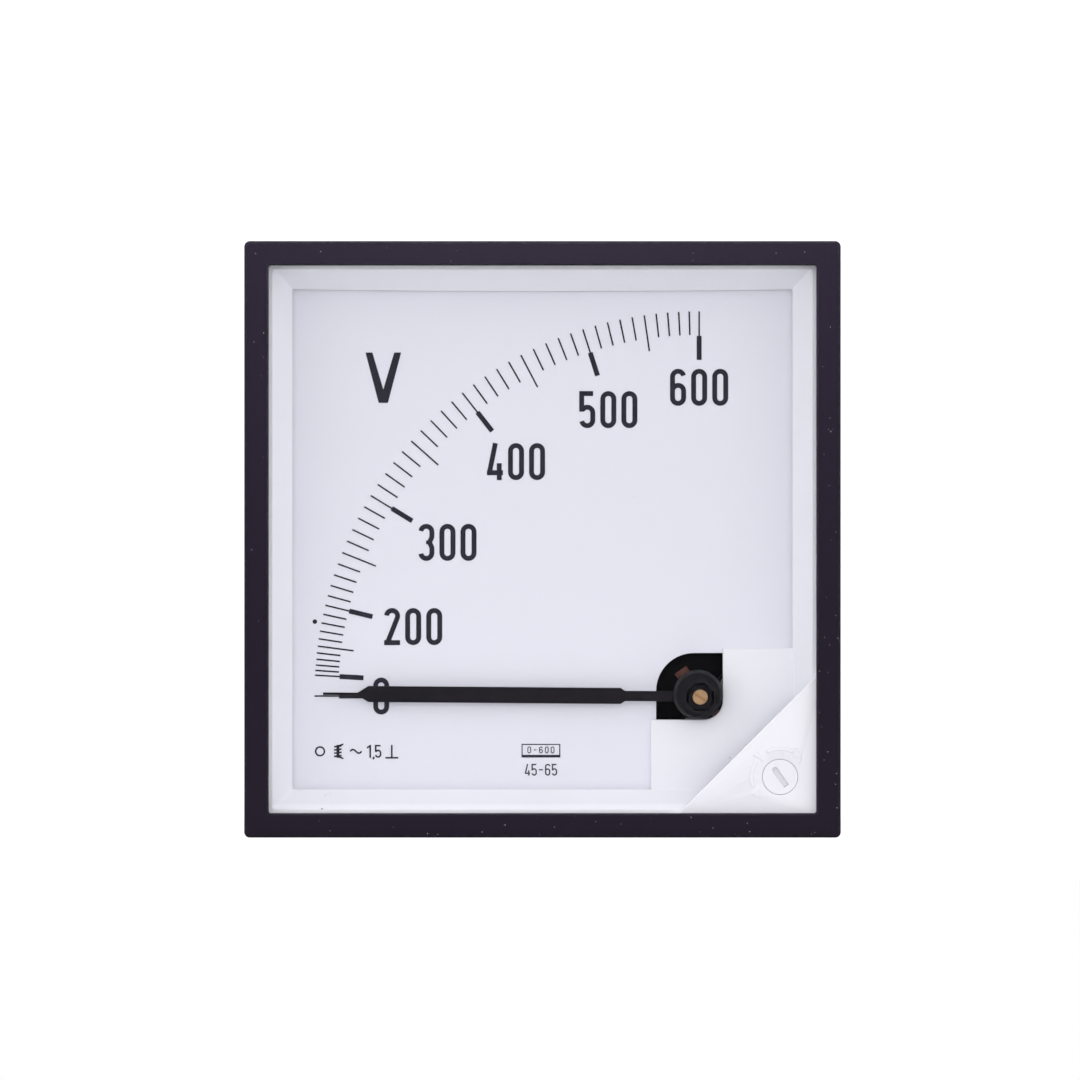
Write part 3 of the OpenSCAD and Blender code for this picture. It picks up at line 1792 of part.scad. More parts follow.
// A round wire along a smooth path through the points
module wire(points, side_hint) {
    path = concat(smooth_points(points), [points[len(points) - 1]]);
    last = len(path) - 1;
    rings = [for (i = [0 : last]) each tube_ring(path, i, side_hint)];
    sides = [for (i = [0 : last - 1], k = [0 : wire_sides - 1])
        let (a = i * wire_sides + k, b = i * wire_sides + (k + 1) % wire_sides)
        each [[a, b, b + wire_sides], [a, b + wire_sides, a + wire_sides]]];
    front_cap = [for (k = [wire_sides - 1 : -1 : 0]) k];
    back_cap = [for (k = [0 : wire_sides - 1]) last * wire_sides + k];
    polyhedron(rings, concat(sides, [front_cap], [back_cap]));
}

module lead_wires() {
    y_solder = y_tag - wire_r - play;
    y_board_back = y_board + board_t + lead_end + wire_r + play;
    left_x = -terminal_pitch / 2;
    lead_z = board_mid_z - resistor_len / 2 - resistor_lead_len;
    entry_x = pivot_x - winding_r - wire_r;
    y_coil = (y_coil_front + y_coil_back) / 2;
    color([0.75, 0.12, 0.1])
    union() {
        wire([
            [left_x, y_solder, terminal_z + tag_len - 1],
            [left_x + 0.5, y_solder - 3, terminal_z + tag_len],
            [left_x + 4, y_board_back + 3, lead_z],
            [board_x + resistor_pitch, y_board_back, lead_z]], [0, 0, 1]);
        wire([
            [board_x - resistor_pitch, y_board_back, lead_z],
            [board_x - 7, y_board_back + 2.5, terminal_z - 6],
            [board_x + 4, y_board_back + 2, pivot_z + 16],
            [pivot_x - 26, y_coil + 8, pivot_z + 8],
            [entry_x - 5, y_coil + 2, pivot_z + 4],
            [entry_x, y_coil, pivot_z + 2]], [0, 1, 0.2]);
        wire([
            [entry_x, y_coil + 1, pivot_z - 3],
            [entry_x - 6, y_coil + 5, pivot_z - 4],
            [entry_x - 14, y_case_floor - 10, pivot_z + 4],
            [entry_x - 17, y_solder - 2, pivot_z + 20],
            [entry_x - 16, y_solder - 1, terminal_z - 5],
            [terminal_pitch / 2 - tag_len - 2, y_solder - 0.4, terminal_z - 1],
            [terminal_pitch / 2 - tag_len + 1, y_solder, terminal_z]], [0, 1, 0.1]);
    }
}

front_frame();
glass_gasket();
front_glass();
zero_corner();
zero_adjuster();
adjuster_clip();
dial_frame();
dial_plate();
scale_marks();
scale_numerals();
unit_mark();
dial_symbols();
case();
front_bridge();
bridge_screws();
front_bearing_screw();
front_jewel();
pointer();
pointer_hub();
spindle();
hairspring_collet();
hairspring();
zero_lever();
lever_bush();
movement_plate();
movement_screws();
plate_pillars();
pillar_screws();
rear_plate();
balance_arms();
balance_weights();
coil_former();
coil_winding();
fixed_vane();
moving_vane();
vane_carriers();
damping_chamber();
damping_cover();
damping_vane();
rear_bridge();
rear_bridge_screws();
rear_bearing_screw();
rear_locknut();
rear_jewel();
resistor_board();
series_resistors();
board_screws();
terminal_stud_left();
terminal_stud_right();
solder_tags();
inner_nuts();
terminal_washers();
terminal_nuts();
lead_wires();
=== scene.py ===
"""Surfaces, finishes and stage of a square panel meter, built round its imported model."""

import json
import math

import bmesh
import bpy
import numpy as np
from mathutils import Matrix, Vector

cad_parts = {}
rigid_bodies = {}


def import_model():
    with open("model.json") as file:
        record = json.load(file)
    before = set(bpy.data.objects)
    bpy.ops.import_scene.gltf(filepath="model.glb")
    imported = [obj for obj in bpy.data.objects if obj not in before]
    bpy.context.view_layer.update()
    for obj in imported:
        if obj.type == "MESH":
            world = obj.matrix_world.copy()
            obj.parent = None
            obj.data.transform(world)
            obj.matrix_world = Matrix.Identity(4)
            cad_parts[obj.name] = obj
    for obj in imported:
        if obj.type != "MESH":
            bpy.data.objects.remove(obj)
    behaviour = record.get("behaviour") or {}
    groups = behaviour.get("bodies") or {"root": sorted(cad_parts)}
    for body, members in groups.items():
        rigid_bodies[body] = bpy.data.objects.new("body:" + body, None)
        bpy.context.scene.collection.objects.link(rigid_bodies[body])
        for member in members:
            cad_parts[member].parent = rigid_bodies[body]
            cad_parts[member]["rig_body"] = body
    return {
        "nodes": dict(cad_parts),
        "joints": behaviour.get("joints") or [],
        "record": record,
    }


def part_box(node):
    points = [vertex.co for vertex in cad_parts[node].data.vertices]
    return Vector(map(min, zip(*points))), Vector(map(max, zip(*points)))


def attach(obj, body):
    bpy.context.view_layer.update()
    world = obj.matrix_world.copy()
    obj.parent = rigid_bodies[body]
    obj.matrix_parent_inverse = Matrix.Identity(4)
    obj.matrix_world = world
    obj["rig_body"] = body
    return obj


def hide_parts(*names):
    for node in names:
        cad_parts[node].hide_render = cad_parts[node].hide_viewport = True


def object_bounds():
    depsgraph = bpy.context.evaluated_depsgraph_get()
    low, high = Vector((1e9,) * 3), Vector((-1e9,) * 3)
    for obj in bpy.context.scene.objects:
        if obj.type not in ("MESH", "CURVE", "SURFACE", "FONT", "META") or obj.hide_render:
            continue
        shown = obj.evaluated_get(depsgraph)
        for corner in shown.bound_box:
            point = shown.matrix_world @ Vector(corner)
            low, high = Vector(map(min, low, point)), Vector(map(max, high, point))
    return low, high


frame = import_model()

bl_info = {
    "name": "Quadrant Panel Meter",
    "version": (1, 0, 0),
    "blender": (4, 5, 0),
    "location": "3D View > Sidebar > Panel Meter",
    "description": "Builds the moulded front, the dial, the terminals and the stage of a square panel meter",
    "category": "Add Mesh",
}

# Places that the CAD sets.
MM = 0.001
BODY = "meter_body"
CAD_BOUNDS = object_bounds()
JOINTS = {joint["name"]: joint for joint in frame["joints"]}
PIVOT = np.array(JOINTS["movement_pivot"]["pos_m"])
ADJUSTER = np.array(JOINTS["zero_adjuster_turn"]["pos_m"])
FRONT_LOW, FRONT_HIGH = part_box("front_frame")
GLASS_LOW, GLASS_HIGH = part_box("front_glass")
MASK_LOW, MASK_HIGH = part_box("dial_frame")
DIAL_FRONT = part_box("dial_plate")[0].y
CASE_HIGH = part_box("case")[1]
STUD_LOW, STUD_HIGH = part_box("terminal_stud_right")
NUTS_LOW, NUTS_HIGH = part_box("terminal_nuts")
SLOT_OF = {entry["node"]: entry["material_slot"] for entry in frame["record"]["subparts"]}

# Sizes that the scene's pieces share with the CAD.
FACE_WIDTH = 3.9 * MM          # front frame's face, from its outer edge to its lip
SHARP_ANGLE = 35               # degrees from which an edge of a CAD node is rounded


# ---- Settings ----


def number(name, description, default, **limits):
    """A number that a user may change."""
    return bpy.props.FloatProperty(name=name, description=description, default=default, **limits)


def length(*texts):
    """A length, given to a hundredth of a millimetre."""
    return number(*texts, min=0, unit="LENGTH", precision=5)


def power(*texts):
    """A lamp's power."""
    return number(*texts, min=0, unit="POWER")


def colour(name, description, default):
    """A colour that a user may change."""
    return bpy.props.FloatVectorProperty(
        name=name, description=description, default=default, min=0, max=1, size=3, subtype="COLOR")


class MeterSizes(bpy.types.PropertyGroup):
    """Sizes of the fine forms."""

    front_round: length("Front rounding", "Rounding of the front frame's outer edge", 0.00038)
    lip_round: length("Lip rounding", "Rounding of the front frame's inner edge", 0.0003)
    corner_round: length("Corner rounding", "Rounding of the front frame's four corners", 0.0009)
    mask_round: length("Mask rounding", "Rounding at the top of the sloping mask", 0.00025)
    mask_bow: length("Mask bow", "How far the mask's top edge bows inward in the middle", 0.0003)
    case_round: length("Case rounding", "Rounding of the case's rear edge", 0.0006)
    thread_pitch: length("Thread pitch", "Pitch of the terminal studs' thread", 0.0007)
    thread_depth: length("Thread depth", "Depth of the terminal studs' thread", 0.00032)


class MeterColours(bpy.types.PropertyGroup):
    """Colours of the finishes."""

    bezel: colour("Front frame", "Black plastic of the front frame", (0.0071, 0.0045, 0.0103))
    white: colour("Mask", "White plastic of the mask", (0.93, 0.925, 0.985))
    dial: colour("Dial", "Enamel of the dial plate", (0.82, 0.815, 0.905))
    ink: colour("Ink", "Printing ink", (0.022, 0.020, 0.034))
    pointer: colour("Pointer", "Black paint of the pointer", (0.010, 0.008, 0.013))
    case: colour("Case", "Black plastic of the case", (0.012, 0.012, 0.015))
    brass: colour("Brass", "Turned brass", (0.62, 0.42, 0.19))
    copper: colour("Lever", "Sheet metal of the zero lever", (0.36, 0.18, 0.14))
    steel: colour("Steel", "Zinc plated and turned steel", (0.58, 0.58, 0.60))


class MeterStage(bpy.types.PropertyGroup):
    """Camera, light and floor."""

    distance: length("Distance", "Distance from the camera to the front of the meter", 0.70)
    view_width: length("View width", "Width of the view at the front of the meter", 0.17367)
    aim_x: number("Aim X", "Sideways place of the view's middle", -0.0004, unit="LENGTH", precision=5)
    aim_z: number("Aim Z", "Height of the view's middle", -0.00011, unit="LENGTH", precision=5)
    world_level: number("World level", "Brightness of the soft light from all round", 0.93,
                        min=0, max=1, subtype="FACTOR")
    key_power: power("Key power", "Power of the soft lamp overhead", 0.36)
    side_power: power("Side power", "Power of each soft side lamp", 1.2)
    front_power: power("Front power", "Power of the soft lamp in front", 5.0)
    frame_power: power("Frame power", "Power of the small lamp over the front frame", 0.61)


def sizes():
    """The size settings of the scene."""
    return bpy.context.scene.panel_meter_sizes


def colours():
    """The colour settings of the scene."""
    return bpy.context.scene.panel_meter_colours


def stage_settings():
    """The stage settings of the scene."""
    return bpy.context.scene.panel_meter_stage


# ---- Meshes ----


def grid_quads(rows, columns, close_rows=False, close_columns=False):
    """Faces of a grid: each face joins a point to the next in its row and in its column, and round the end
    where the grid is closed."""
    r = np.arange(rows if close_rows else rows - 1)[:, None]
    c = np.arange(columns if close_columns else columns - 1)[None, :]
    r2, c2 = (r + 1) % rows, (c + 1) % columns
    quads = np.stack([r * columns + c, r * columns + c2, r2 * columns + c2, r2 * columns + c], axis=-1)
    return quads.reshape(-1, 4)


def mesh_from(name, shells, edge_marks=None):
    """One mesh from shells of (points, quads), with an optional edge value for each point."""
    points, quads, start = [], [], 0
    for shell_points, shell_quads in shells:
        flat = np.asarray(shell_points, float).reshape(-1, 3)
        points.append(flat)
        quads.append(np.asarray(shell_quads) + start)
        start += len(flat)
    points, quads = np.concatenate(points), np.concatenate(quads)
    mesh = bpy.data.meshes.new(name)
    mesh.vertices.add(len(points))
    mesh.vertices.foreach_set("co", points.ravel())
    mesh.loops.add(quads.size)
    mesh.loops.foreach_set("vertex_index", quads.ravel().astype(np.int32))
    mesh.polygons.add(len(quads))
    mesh.polygons.foreach_set("loop_start", np.arange(0, quads.size, 4, dtype=np.int32))
    mesh.update(calc_edges=True)
    if edge_marks is not None:
        layer = mesh.attributes.new("edge", "FLOAT", "POINT")
        layer.data.foreach_set("value", np.concatenate([np.ravel(m) for m in edge_marks]).astype(np.float32))
    mesh.validate()
    return mesh


def points_of(mesh):
    """A mesh's points, one row each."""
    points = np.zeros(len(mesh.vertices) * 3)
    mesh.vertices.foreach_get("co", points)
    return points.reshape(-1, 3)


def tidy_mesh(mesh, angle=30, merge=1e-7, shortest=1e-7, flat=None):
    """Merges doubles, points the faces outward and smooths all but the sharp edges. Faces that differ by less
    than the flat angle are joined into few convex ones."""
    shape = bmesh.new()
    shape.from_mesh(mesh)
    bmesh.ops.remove_doubles(shape, verts=shape.verts, dist=merge)
    bmesh.ops.dissolve_degenerate(shape, edges=shape.edges, dist=shortest)
    if flat:
        bmesh.ops.dissolve_limit(shape, angle_limit=math.radians(flat), verts=shape.verts, edges=shape.edges)
        bmesh.ops.connect_verts_concave(shape, faces=shape.faces)
    bmesh.ops.recalc_face_normals(shape, faces=shape.faces)
    shape.to_mesh(mesh)
    shape.free()
    mesh.shade_smooth()
    mesh.set_sharp_from_angle(angle=math.radians(angle))


def new_object(name, data):
    """An object in the scene."""
    made = bpy.data.objects.new(name, data)
    bpy.context.scene.collection.objects.link(made)
    return made


def place_piece(name, mesh, body, slot_name, *replaced, finish=None):
    """Places a mesh as a piece that rides on a body and stands for CAD nodes. It has its slot's finish,
    unless another is named."""
    piece = new_object(name, mesh)
    piece.data.materials.clear()
    piece.data.materials.append(finish_of(finish or slot_name))
    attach(piece, body)
    if replaced:
        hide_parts(*replaced)
    return piece


def built_piece(name, shells, slot_name, *replaced, finish=None, angle=30, edge_marks=None):
    """Builds a piece of the fixed body from shells of points and faces."""
    mesh = mesh_from(name, shells, edge_marks)
    tidy_mesh(mesh, angle)
    place_piece(name, mesh, BODY, slot_name, *replaced, finish=finish)


def square_loop(arc_steps, side_steps):
    """Signs and directions along a rounded square. The signs pick the corner that a point hangs on and run
    from one corner to the next along a side. The directions turn through a quarter circle at each corner. A
    third list rises from 0 to 1 and back along the top side."""
    signs, ways, along = [], [], []
    corners = np.array([[1, 1], [-1, 1], [-1, -1], [1, -1]], float)
    for k in range(4):
        turn = np.radians(90 * k) + np.linspace(0, math.pi / 2, arc_steps)
        signs.append(np.repeat(corners[k][None], arc_steps, 0))
        ways.append(np.stack([np.cos(turn), np.sin(turn)], -1))
        along.append(np.zeros(arc_steps))
        t = np.linspace(0, 1, side_steps + 2)[1:-1, None]
        signs.append(corners[k] * (1 - t) + corners[(k + 1) % 4] * t)
        ways.append(np.repeat(ways[-1][-1][None], side_steps, 0))
        along.append(4 * t[:, 0] * (1 - t[:, 0]) if k == 0 else np.zeros(side_steps))
    return np.concatenate(signs), np.concatenate(ways), np.concatenate(along)


def square_sweep(half, y, round_r, arc_steps, side_steps, bow=None):
    """Sweeps a profile round a square. A point is the corner sign times half less the corner radius, plus the
    radius times the direction. The bow moves the top side's points down by a parabola along that side."""
    signs, ways, along = square_loop(arc_steps, side_steps)
    half, y, round_r = (np.asarray(v, float)[:, None] for v in (half, y, round_r))
    x = signs[None, :, 0] * (half - round_r) + round_r * ways[None, :, 0]
    z = signs[None, :, 1] * (half - round_r) + round_r * ways[None, :, 1]
    if bow is not None:
        z = z - np.asarray(bow, float)[:, None] * along[None, :]
    points = np.stack([x, np.broadcast_to(y, x.shape), z], -1)
    return points, grid_quads(points.shape[0], points.shape[1], True, True)


def arc(centre, r, start, end, steps):
    """Points on a circle from one angle to another, in degrees."""
    turn = np.radians(np.linspace(start, end, steps))
    return np.array(centre) + r * np.stack([np.cos(turn), np.sin(turn)], -1)


def turned_shell(centre, r, y, around, closed=False):
    """A surface round an axis along Y, from rows of radius and depth, each for one angle or for all of them.
    The last row joins the first where it is closed."""
    angle = np.linspace(0, 2 * math.pi, around, endpoint=False)
    r, y = (np.broadcast_to(rows, (len(rows), around)) for rows in (r, y))
    points = np.stack([centre[0] + r * np.cos(angle), y, centre[1] + r * np.sin(angle)], -1)
    return points, grid_quads(len(r), around, closed, True)


def prism(outline, low, high, place):
    """Carries a closed outline along a straight line, with a fan of faces at each end. The call named place
    turns outline and line into three coordinates."""
    outline = np.asarray(outline, float)
    middle = np.broadcast_to(outline.mean(0), outline.shape)
    rows = zip((middle, outline, outline, middle), (low, low, high, high))
    points = np.stack([place(row, np.full(len(row), depth)) for row, depth in rows])
    return points, grid_quads(4, len(outline), False, True)


def flat_plate(name, outlines, y0, y1, rounding):
    """A plate between two depths with rounded edges. Closed outlines in X and Z are filled, with holes where
    one lies in another, and the edge follows a quarter circle front and back."""
    curve = bpy.data.curves.new(name, "CURVE")
    curve.dimensions = "2D"
    curve.fill_mode = "BOTH"
    curve.extrude = (y1 - y0) / 2 - rounding
    curve.bevel_depth = rounding
    curve.bevel_resolution = 3
    curve.offset = -rounding
    for outline in outlines:
        spline = curve.splines.new("POLY")
        spline.points.add(len(outline) - 1)
        flat = np.zeros((len(outline), 4))
        flat[:, :2] = outline
        flat[:, 3] = 1
        spline.points.foreach_set("co", flat.ravel())
        spline.use_cyclic_u = True
    holder = new_object(name, curve)
    bpy.context.view_layer.update()
    solid = bpy.data.meshes.new_from_object(holder.evaluated_get(bpy.context.evaluated_depsgraph_get()))
    bpy.data.objects.remove(holder)
    bpy.data.curves.remove(curve)
    points = points_of(solid)
    turned = np.stack([points[:, 0], (y0 + y1) / 2 - points[:, 2], points[:, 1]], -1)
    solid.vertices.foreach_set("co", turned.ravel())
    tidy_mesh(solid)
    return solid


def softened(node):
    """A merged copy of a CAD node, with its flat faces joined and its sharp edges marked."""
    mesh = frame["nodes"][node].data.copy()
    mesh.name = node + "_soft"
    tidy_mesh(mesh, SHARP_ANGLE, merge=2e-6, shortest=1e-6, flat=1.5)
    return mesh


def add_bevel(piece, width, segments):
    """Rounds a piece's sharp edges."""
    bevel = piece.modifiers.new("rounded edges", "BEVEL")
    bevel.width = width
    bevel.segments = segments
    bevel.limit_method = "ANGLE"
    bevel.angle_limit = math.radians(SHARP_ANGLE)
    bevel.use_clamp_overlap = True
    bevel.harden_normals = True
    bevel.miter_outer = "MITER_ARC"
    return bevel


def soft_piece(node, width, finish=None, segments=2):
    """Stands a rounded copy of a CAD node in the node's place, on the node's own body."""
    body = frame["nodes"][node]["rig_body"]
    piece = place_piece(node + "_finished", softened(node), body, SLOT_OF[node], node, finish=finish)
    add_bevel(piece, width, segments)


# ---- Shader groups and finishes ----


def put(tree, kind, inputs=None, **settings):
    """Adds a shader node, sets its options, and sets or links its inputs."""
    node = tree.nodes.new(kind)
    for key, value in settings.items():
        setattr(node, key, value)
    for key, value in (inputs or {}).items():
        if isinstance(value, bpy.types.NodeSocket):
            tree.links.new(value, node.inputs[key])
        else:
            node.inputs[key].default_value = value
    return node


def math_node(tree, operation, a, b, clamp=False):
    """The result of one sum."""
    return put(tree, "ShaderNodeMath", {0: a, 1: b}, operation=operation, use_clamp=clamp).outputs[0]


def times(tree, a, b, clamp=False):
    """One value times another."""
    return math_node(tree, "MULTIPLY", a, b, clamp)


def plus(tree, a, b, clamp=False):
    """One value and another."""
    return math_node(tree, "ADD", a, b, clamp)


def blend_colour(tree, factor, a, b):
    """Mixes two colours. A Mix node's sockets share their names, so they are picked by number."""
    colour_a, colour_b, colour_out = 6, 7, 2
    node = put(tree, "ShaderNodeMix", {0: factor, colour_a: a, colour_b: b}, data_type="RGBA")
    return node.outputs[colour_out]


def noise(tree, vector, scale, detail, **more):
    """A noise pattern's level."""
    inputs = {"Vector": vector, "Scale": scale, "Detail": detail, **more}
    return put(tree, "ShaderNodeTexNoise", inputs).outputs[0]


def waves(tree, vector, way, scale, distortion, **more):
    """The level of bands across one direction."""
    inputs = {"Vector": vector, "Scale": scale, "Distortion": distortion, **more}
    return put(tree, "ShaderNodeTexWave", inputs, bands_direction=way).outputs["Fac"]


def stepped(tree, value, low, high, to_low=0.0, to_high=1.0):
    """Runs from one level to another as a value passes between two limits."""
    return put(tree, "ShaderNodeMapRange", {0: value, 1: low, 2: high, 3: to_low, 4: to_high},
               clamp=True).outputs[0]


def new_group(name, inputs, outputs):
    """An empty shader group with a vector and other named inputs, and named outputs."""
    tree = bpy.data.node_groups.new(name, "ShaderNodeTree")
    for label, kind, default in [("Vector", "Vector", None), *inputs]:
        socket = tree.interface.new_socket(name=label, in_out="INPUT", socket_type="NodeSocket" + kind)
        if default is not None:
            socket.default_value = default
    for label, kind in outputs:
        tree.interface.new_socket(name=label, in_out="OUTPUT", socket_type="NodeSocket" + kind)
    return tree, tree.nodes.new("NodeGroupInput").outputs, tree.nodes.new("NodeGroupOutput").inputs


SURFACE = [("Colour", "Color"), ("Roughness", "Float"), ("Height", "Float")]


def moulded_group():
    """Moulded or painted surface: a slow drift of shade, fine grain, and roughness that follows the grain."""
    tree, given, out = new_group("Moulded Surface", [
        ("Colour", "Color", (0.5, 0.5, 0.5, 1)), ("Grain Scale", "Float", 4000.0),
        ("Drift Scale", "Float", 40.0), ("Mottle", "Float", 0.05), ("Roughness", "Float", 0.5),
        ("Roughness Spread", "Float", 0.1)], SURFACE)
    grain = noise(tree, given["Vector"], given["Grain Scale"], 3.0, Roughness=0.6)
    drift = noise(tree, given["Vector"], given["Drift Scale"], 2.0)
    both = plus(tree, times(tree, drift, 0.7), times(tree, grain, 0.3))
    centred = times(tree, math_node(tree, "SUBTRACT", both, 0.5), 2.0)
    level = plus(tree, times(tree, centred, given["Mottle"]), 1.0)
    tint = put(tree, "ShaderNodeVectorMath", {0: given["Colour"], 3: level}, operation="SCALE").outputs[0]
    spread = times(tree, math_node(tree, "SUBTRACT", grain, 0.5), given["Roughness Spread"])
    tree.links.new(tint, out["Colour"])
    tree.links.new(plus(tree, given["Roughness"], spread, True), out["Roughness"])
    tree.links.new(grain, out["Height"])
    return tree


def speck_group():
    """Sparse round specks: cells of a Voronoi pattern, kept where the cell's random value is low, each masked
    to a small disc round its point."""
    tree, given, out = new_group("Specks", [
        ("Scale", "Float", 400.0), ("Size", "Float", 0.2), ("Share", "Float", 0.02)], [("Mask", "Float")])
    cells = put(tree, "ShaderNodeTexVoronoi", {"Vector": given["Vector"], "Scale": given["Scale"]})
    chance = put(tree, "ShaderNodeSeparateColor", {0: cells.outputs["Color"]})
    kept = math_node(tree, "LESS_THAN", chance.outputs[0], given["Share"])
    reach = times(tree, given["Size"], plus(tree, chance.outputs[1], 0.4))
    inside = math_node(tree, "SUBTRACT", reach, cells.outputs["Distance"])
    soft = stepped(tree, inside, 0.0, 0.06)
    tree.links.new(times(tree, kept, soft, True), out["Mask"])
    return tree


TURNED_LINES = (300.0, 9000.0, 300.0)


def turned_group():
    """Turned or rolled metal: fine lines across one direction, slow tarnish, and roughness from both."""
    tree, given, out = new_group("Turned Metal", [
        ("Colour", "Color", (0.6, 0.6, 0.6, 1)), ("Tarnish", "Color", (0.3, 0.25, 0.2, 1)),
        ("Tarnish Share", "Float", 0.3), ("Line Scale", "Vector", TURNED_LINES),
        ("Roughness", "Float", 0.3)], SURFACE)
    stretched = put(tree, "ShaderNodeVectorMath", {0: given["Vector"], 1: given["Line Scale"]},
                    operation="MULTIPLY").outputs[0]
    lines = noise(tree, stretched, 1.0, 2.0)
    cloud = noise(tree, given["Vector"], 700.0, 4.0)
    patch = times(tree, stepped(tree, cloud, 0.42, 0.68), given["Tarnish Share"])
    tree.links.new(blend_colour(tree, patch, given["Colour"], given["Tarnish"]), out["Colour"])
    rough = plus(tree, given["Roughness"], times(tree, lines, 0.12))
    tree.links.new(plus(tree, rough, times(tree, patch, 0.25), True), out["Roughness"])
    tree.links.new(lines, out["Height"])
    return tree


GROUPS = {}


def group(tree, maker, inputs):
    """Places a group in a material. All materials share the one that its maker made first."""
    if maker not in GROUPS:
        GROUPS[maker] = maker()
    return put(tree, "ShaderNodeGroup", inputs, node_tree=GROUPS[maker]).outputs


def new_finish(name, values=None):
    """A material with a Principled shader that has these values, and the vector that its patterns follow."""
    material = bpy.data.materials.new(name)
    material.use_nodes = True
    tree = material.node_tree
    tree.nodes.clear()
    shader = put(tree, "ShaderNodeBsdfPrincipled", values)
    put(tree, "ShaderNodeOutputMaterial", {0: shader.outputs[0]})
    vector = tree.nodes.new("ShaderNodeTexCoord").outputs["Object"]
    return material, tree, shader, vector


def feed(tree, shader, colour_socket, roughness, height, bump, bump_depth=0.02 * MM):
    """Links colour, roughness and a bump into the shader."""
    tree.links.new(colour_socket, shader.inputs["Base Color"])
    tree.links.new(roughness, shader.inputs["Roughness"])
    raised = put(tree, "ShaderNodeBump", {"Height": height, "Strength": bump, "Distance": bump_depth})
    tree.links.new(raised.outputs[0], shader.inputs["Normal"])


def rgba(values):
    """A colour with full alpha."""
    return (*values, 1.0)


def moulded(tree, vector, base, roughness, grain, drift, mottle, spread):
    """Colour, roughness and height of a moulded or painted surface."""
    return group(tree, moulded_group, {
        "Vector": vector, "Colour": rgba(base), "Grain Scale": grain, "Drift Scale": drift, "Mottle": mottle,
        "Roughness": roughness, "Roughness Spread": spread})


def plastic(name, base, roughness, specular, grain=4200.0, drift=45.0, mottle=0.06, spread=0.12, bump=0.12,
            dust=None, edge=None):
    """Moulded plastic or paint, with optional dust specks and lighter edges, partly wear and partly a painted
    highlight.
    """
    material, tree, shader, vector = new_finish(name, {"Specular IOR Level": specular})
    colour_out, rough_out, height = moulded(tree, vector, base, roughness, grain, drift, mottle, spread)
    # the lighter edge colour is partly wear and partly a painted highlight along the rounded edges
    if edge:
        edge_colour, edge_share = edge
        marks = put(tree, "ShaderNodeAttribute", attribute_name="edge").outputs["Fac"]
        wear_and_highlight_patches = noise(tree, vector, 900.0, 4.0)
        mask = times(tree, marks, stepped(tree, wear_and_highlight_patches, 0.35, 0.75), True)
        worn = times(tree, mask, edge_share)
        colour_out = blend_colour(tree, worn, colour_out, rgba(edge_colour))
    if dust:
        dust_colour, scale, size, amount = dust
        mask = group(tree, speck_group, {"Vector": vector, "Scale": scale, "Size": size, "Share": amount})[0]
        colour_out = blend_colour(tree, mask, colour_out, rgba(dust_colour))
        rough_out = plus(tree, rough_out, times(tree, mask, 0.3), True)
    feed(tree, shader, colour_out, rough_out, height, bump)
    return material


def metal(name, base, tarnish, tarnish_share, lines, roughness, bump=0.1):
    """Turned, drawn or rolled metal."""
    material, tree, shader, vector = new_finish(name, {"Metallic": 1.0})
    colour_out, rough_out, height = group(tree, turned_group, {
        "Vector": vector, "Colour": rgba(base), "Tarnish": rgba(tarnish), "Tarnish Share": tarnish_share,
        "Line Scale": lines, "Roughness": roughness})
    feed(tree, shader, colour_out, rough_out, height, bump)
    return material


def clear_glass(name, base):
    """Clear window glass that lets the lamps through, with a faint smear in its polish."""
    material, tree, shader, vector = new_finish(
        name, {"Base Color": rgba(base), "Transmission Weight": 1.0, "IOR": 1.5})
    smear = noise(tree, vector, 60.0, 3.0)
    tree.links.new(stepped(tree, smear, 0.4, 0.8, 0.0, 0.03), shader.inputs["Roughness"])
    path, let_through = tree.nodes.new("ShaderNodeLightPath").outputs, 0.93
    lit = math_node(tree, "MAXIMUM", path["Is Shadow Ray"], path["Is Diffuse Ray"])
    blocked = math_node(tree, "SUBTRACT", 1.0, times(tree, lit, let_through))
    tree.links.new(blocked, shader.inputs["Alpha"])
    return material


def stone(name, base):
    """Polished red stone with faint growth lines."""
    material, tree, shader, vector = new_finish(name, {"Coat Weight": 0.6})
    colour_out, rough_out, height = moulded(
        tree, vector, base, roughness=0.08, grain=3000.0, drift=900.0, mottle=0.2, spread=0.05)
    feed(tree, shader, colour_out, rough_out, height, 0.02)
    return material


def printing_ink(name, base, enamel):
    """Printing ink with tiny chips through which the enamel shows."""
    material, tree, shader, vector = new_finish(name, {"Specular IOR Level": 0.3})
    colour_out, rough_out, height = moulded(
        tree, vector, base, roughness=0.55, grain=6000.0, drift=200.0, mottle=0.12, spread=0.1)
    chips = group(tree, speck_group, {"Vector": vector, "Scale": 900.0, "Size": 0.22, "Share": 0.035})[0]
    worn = noise(tree, vector, 130.0, 2.0)
    chips = times(tree, chips, stepped(tree, worn, 0.5, 0.6), True)
    feed(tree, shader, blend_colour(tree, chips, colour_out, rgba(enamel)), rough_out, height, 0.05)
    return material


def wound_wire(name, base, dark):
    """Enamelled wire wound in close turns: bands across the coil's axis with a dark line between them."""
    material, tree, shader, vector = new_finish(name, {"Metallic": 0.6, "Coat Weight": 0.4})
    bands = waves(tree, vector, "Y", 700.0, 0.6, Detail=1.0)
    feed(tree, shader, blend_colour(tree, stepped(tree, bands, 0.05, 0.5), rgba(dark), rgba(base)),
         stepped(tree, bands, 0.0, 1.0, 0.5, 0.28), bands, 0.6, 0.08 * MM)
    return material


def laminated(name, base):
    """Laminated board: a weave of pale and dark threads under a dull resin."""
    material, tree, shader, vector = new_finish(name)
    warp, weft = (waves(tree, vector, way, 320.0, 1.2) for way in "XZ")
    weave = times(tree, warp, weft)
    pale = tuple(min(1.0, v * 1.5) for v in base)
    feed(tree, shader, blend_colour(tree, weave, rgba(base), rgba(pale)),
         stepped(tree, weave, 0.0, 1.0, 0.45, 0.6), weave, 0.2, 0.03 * MM)
    return material


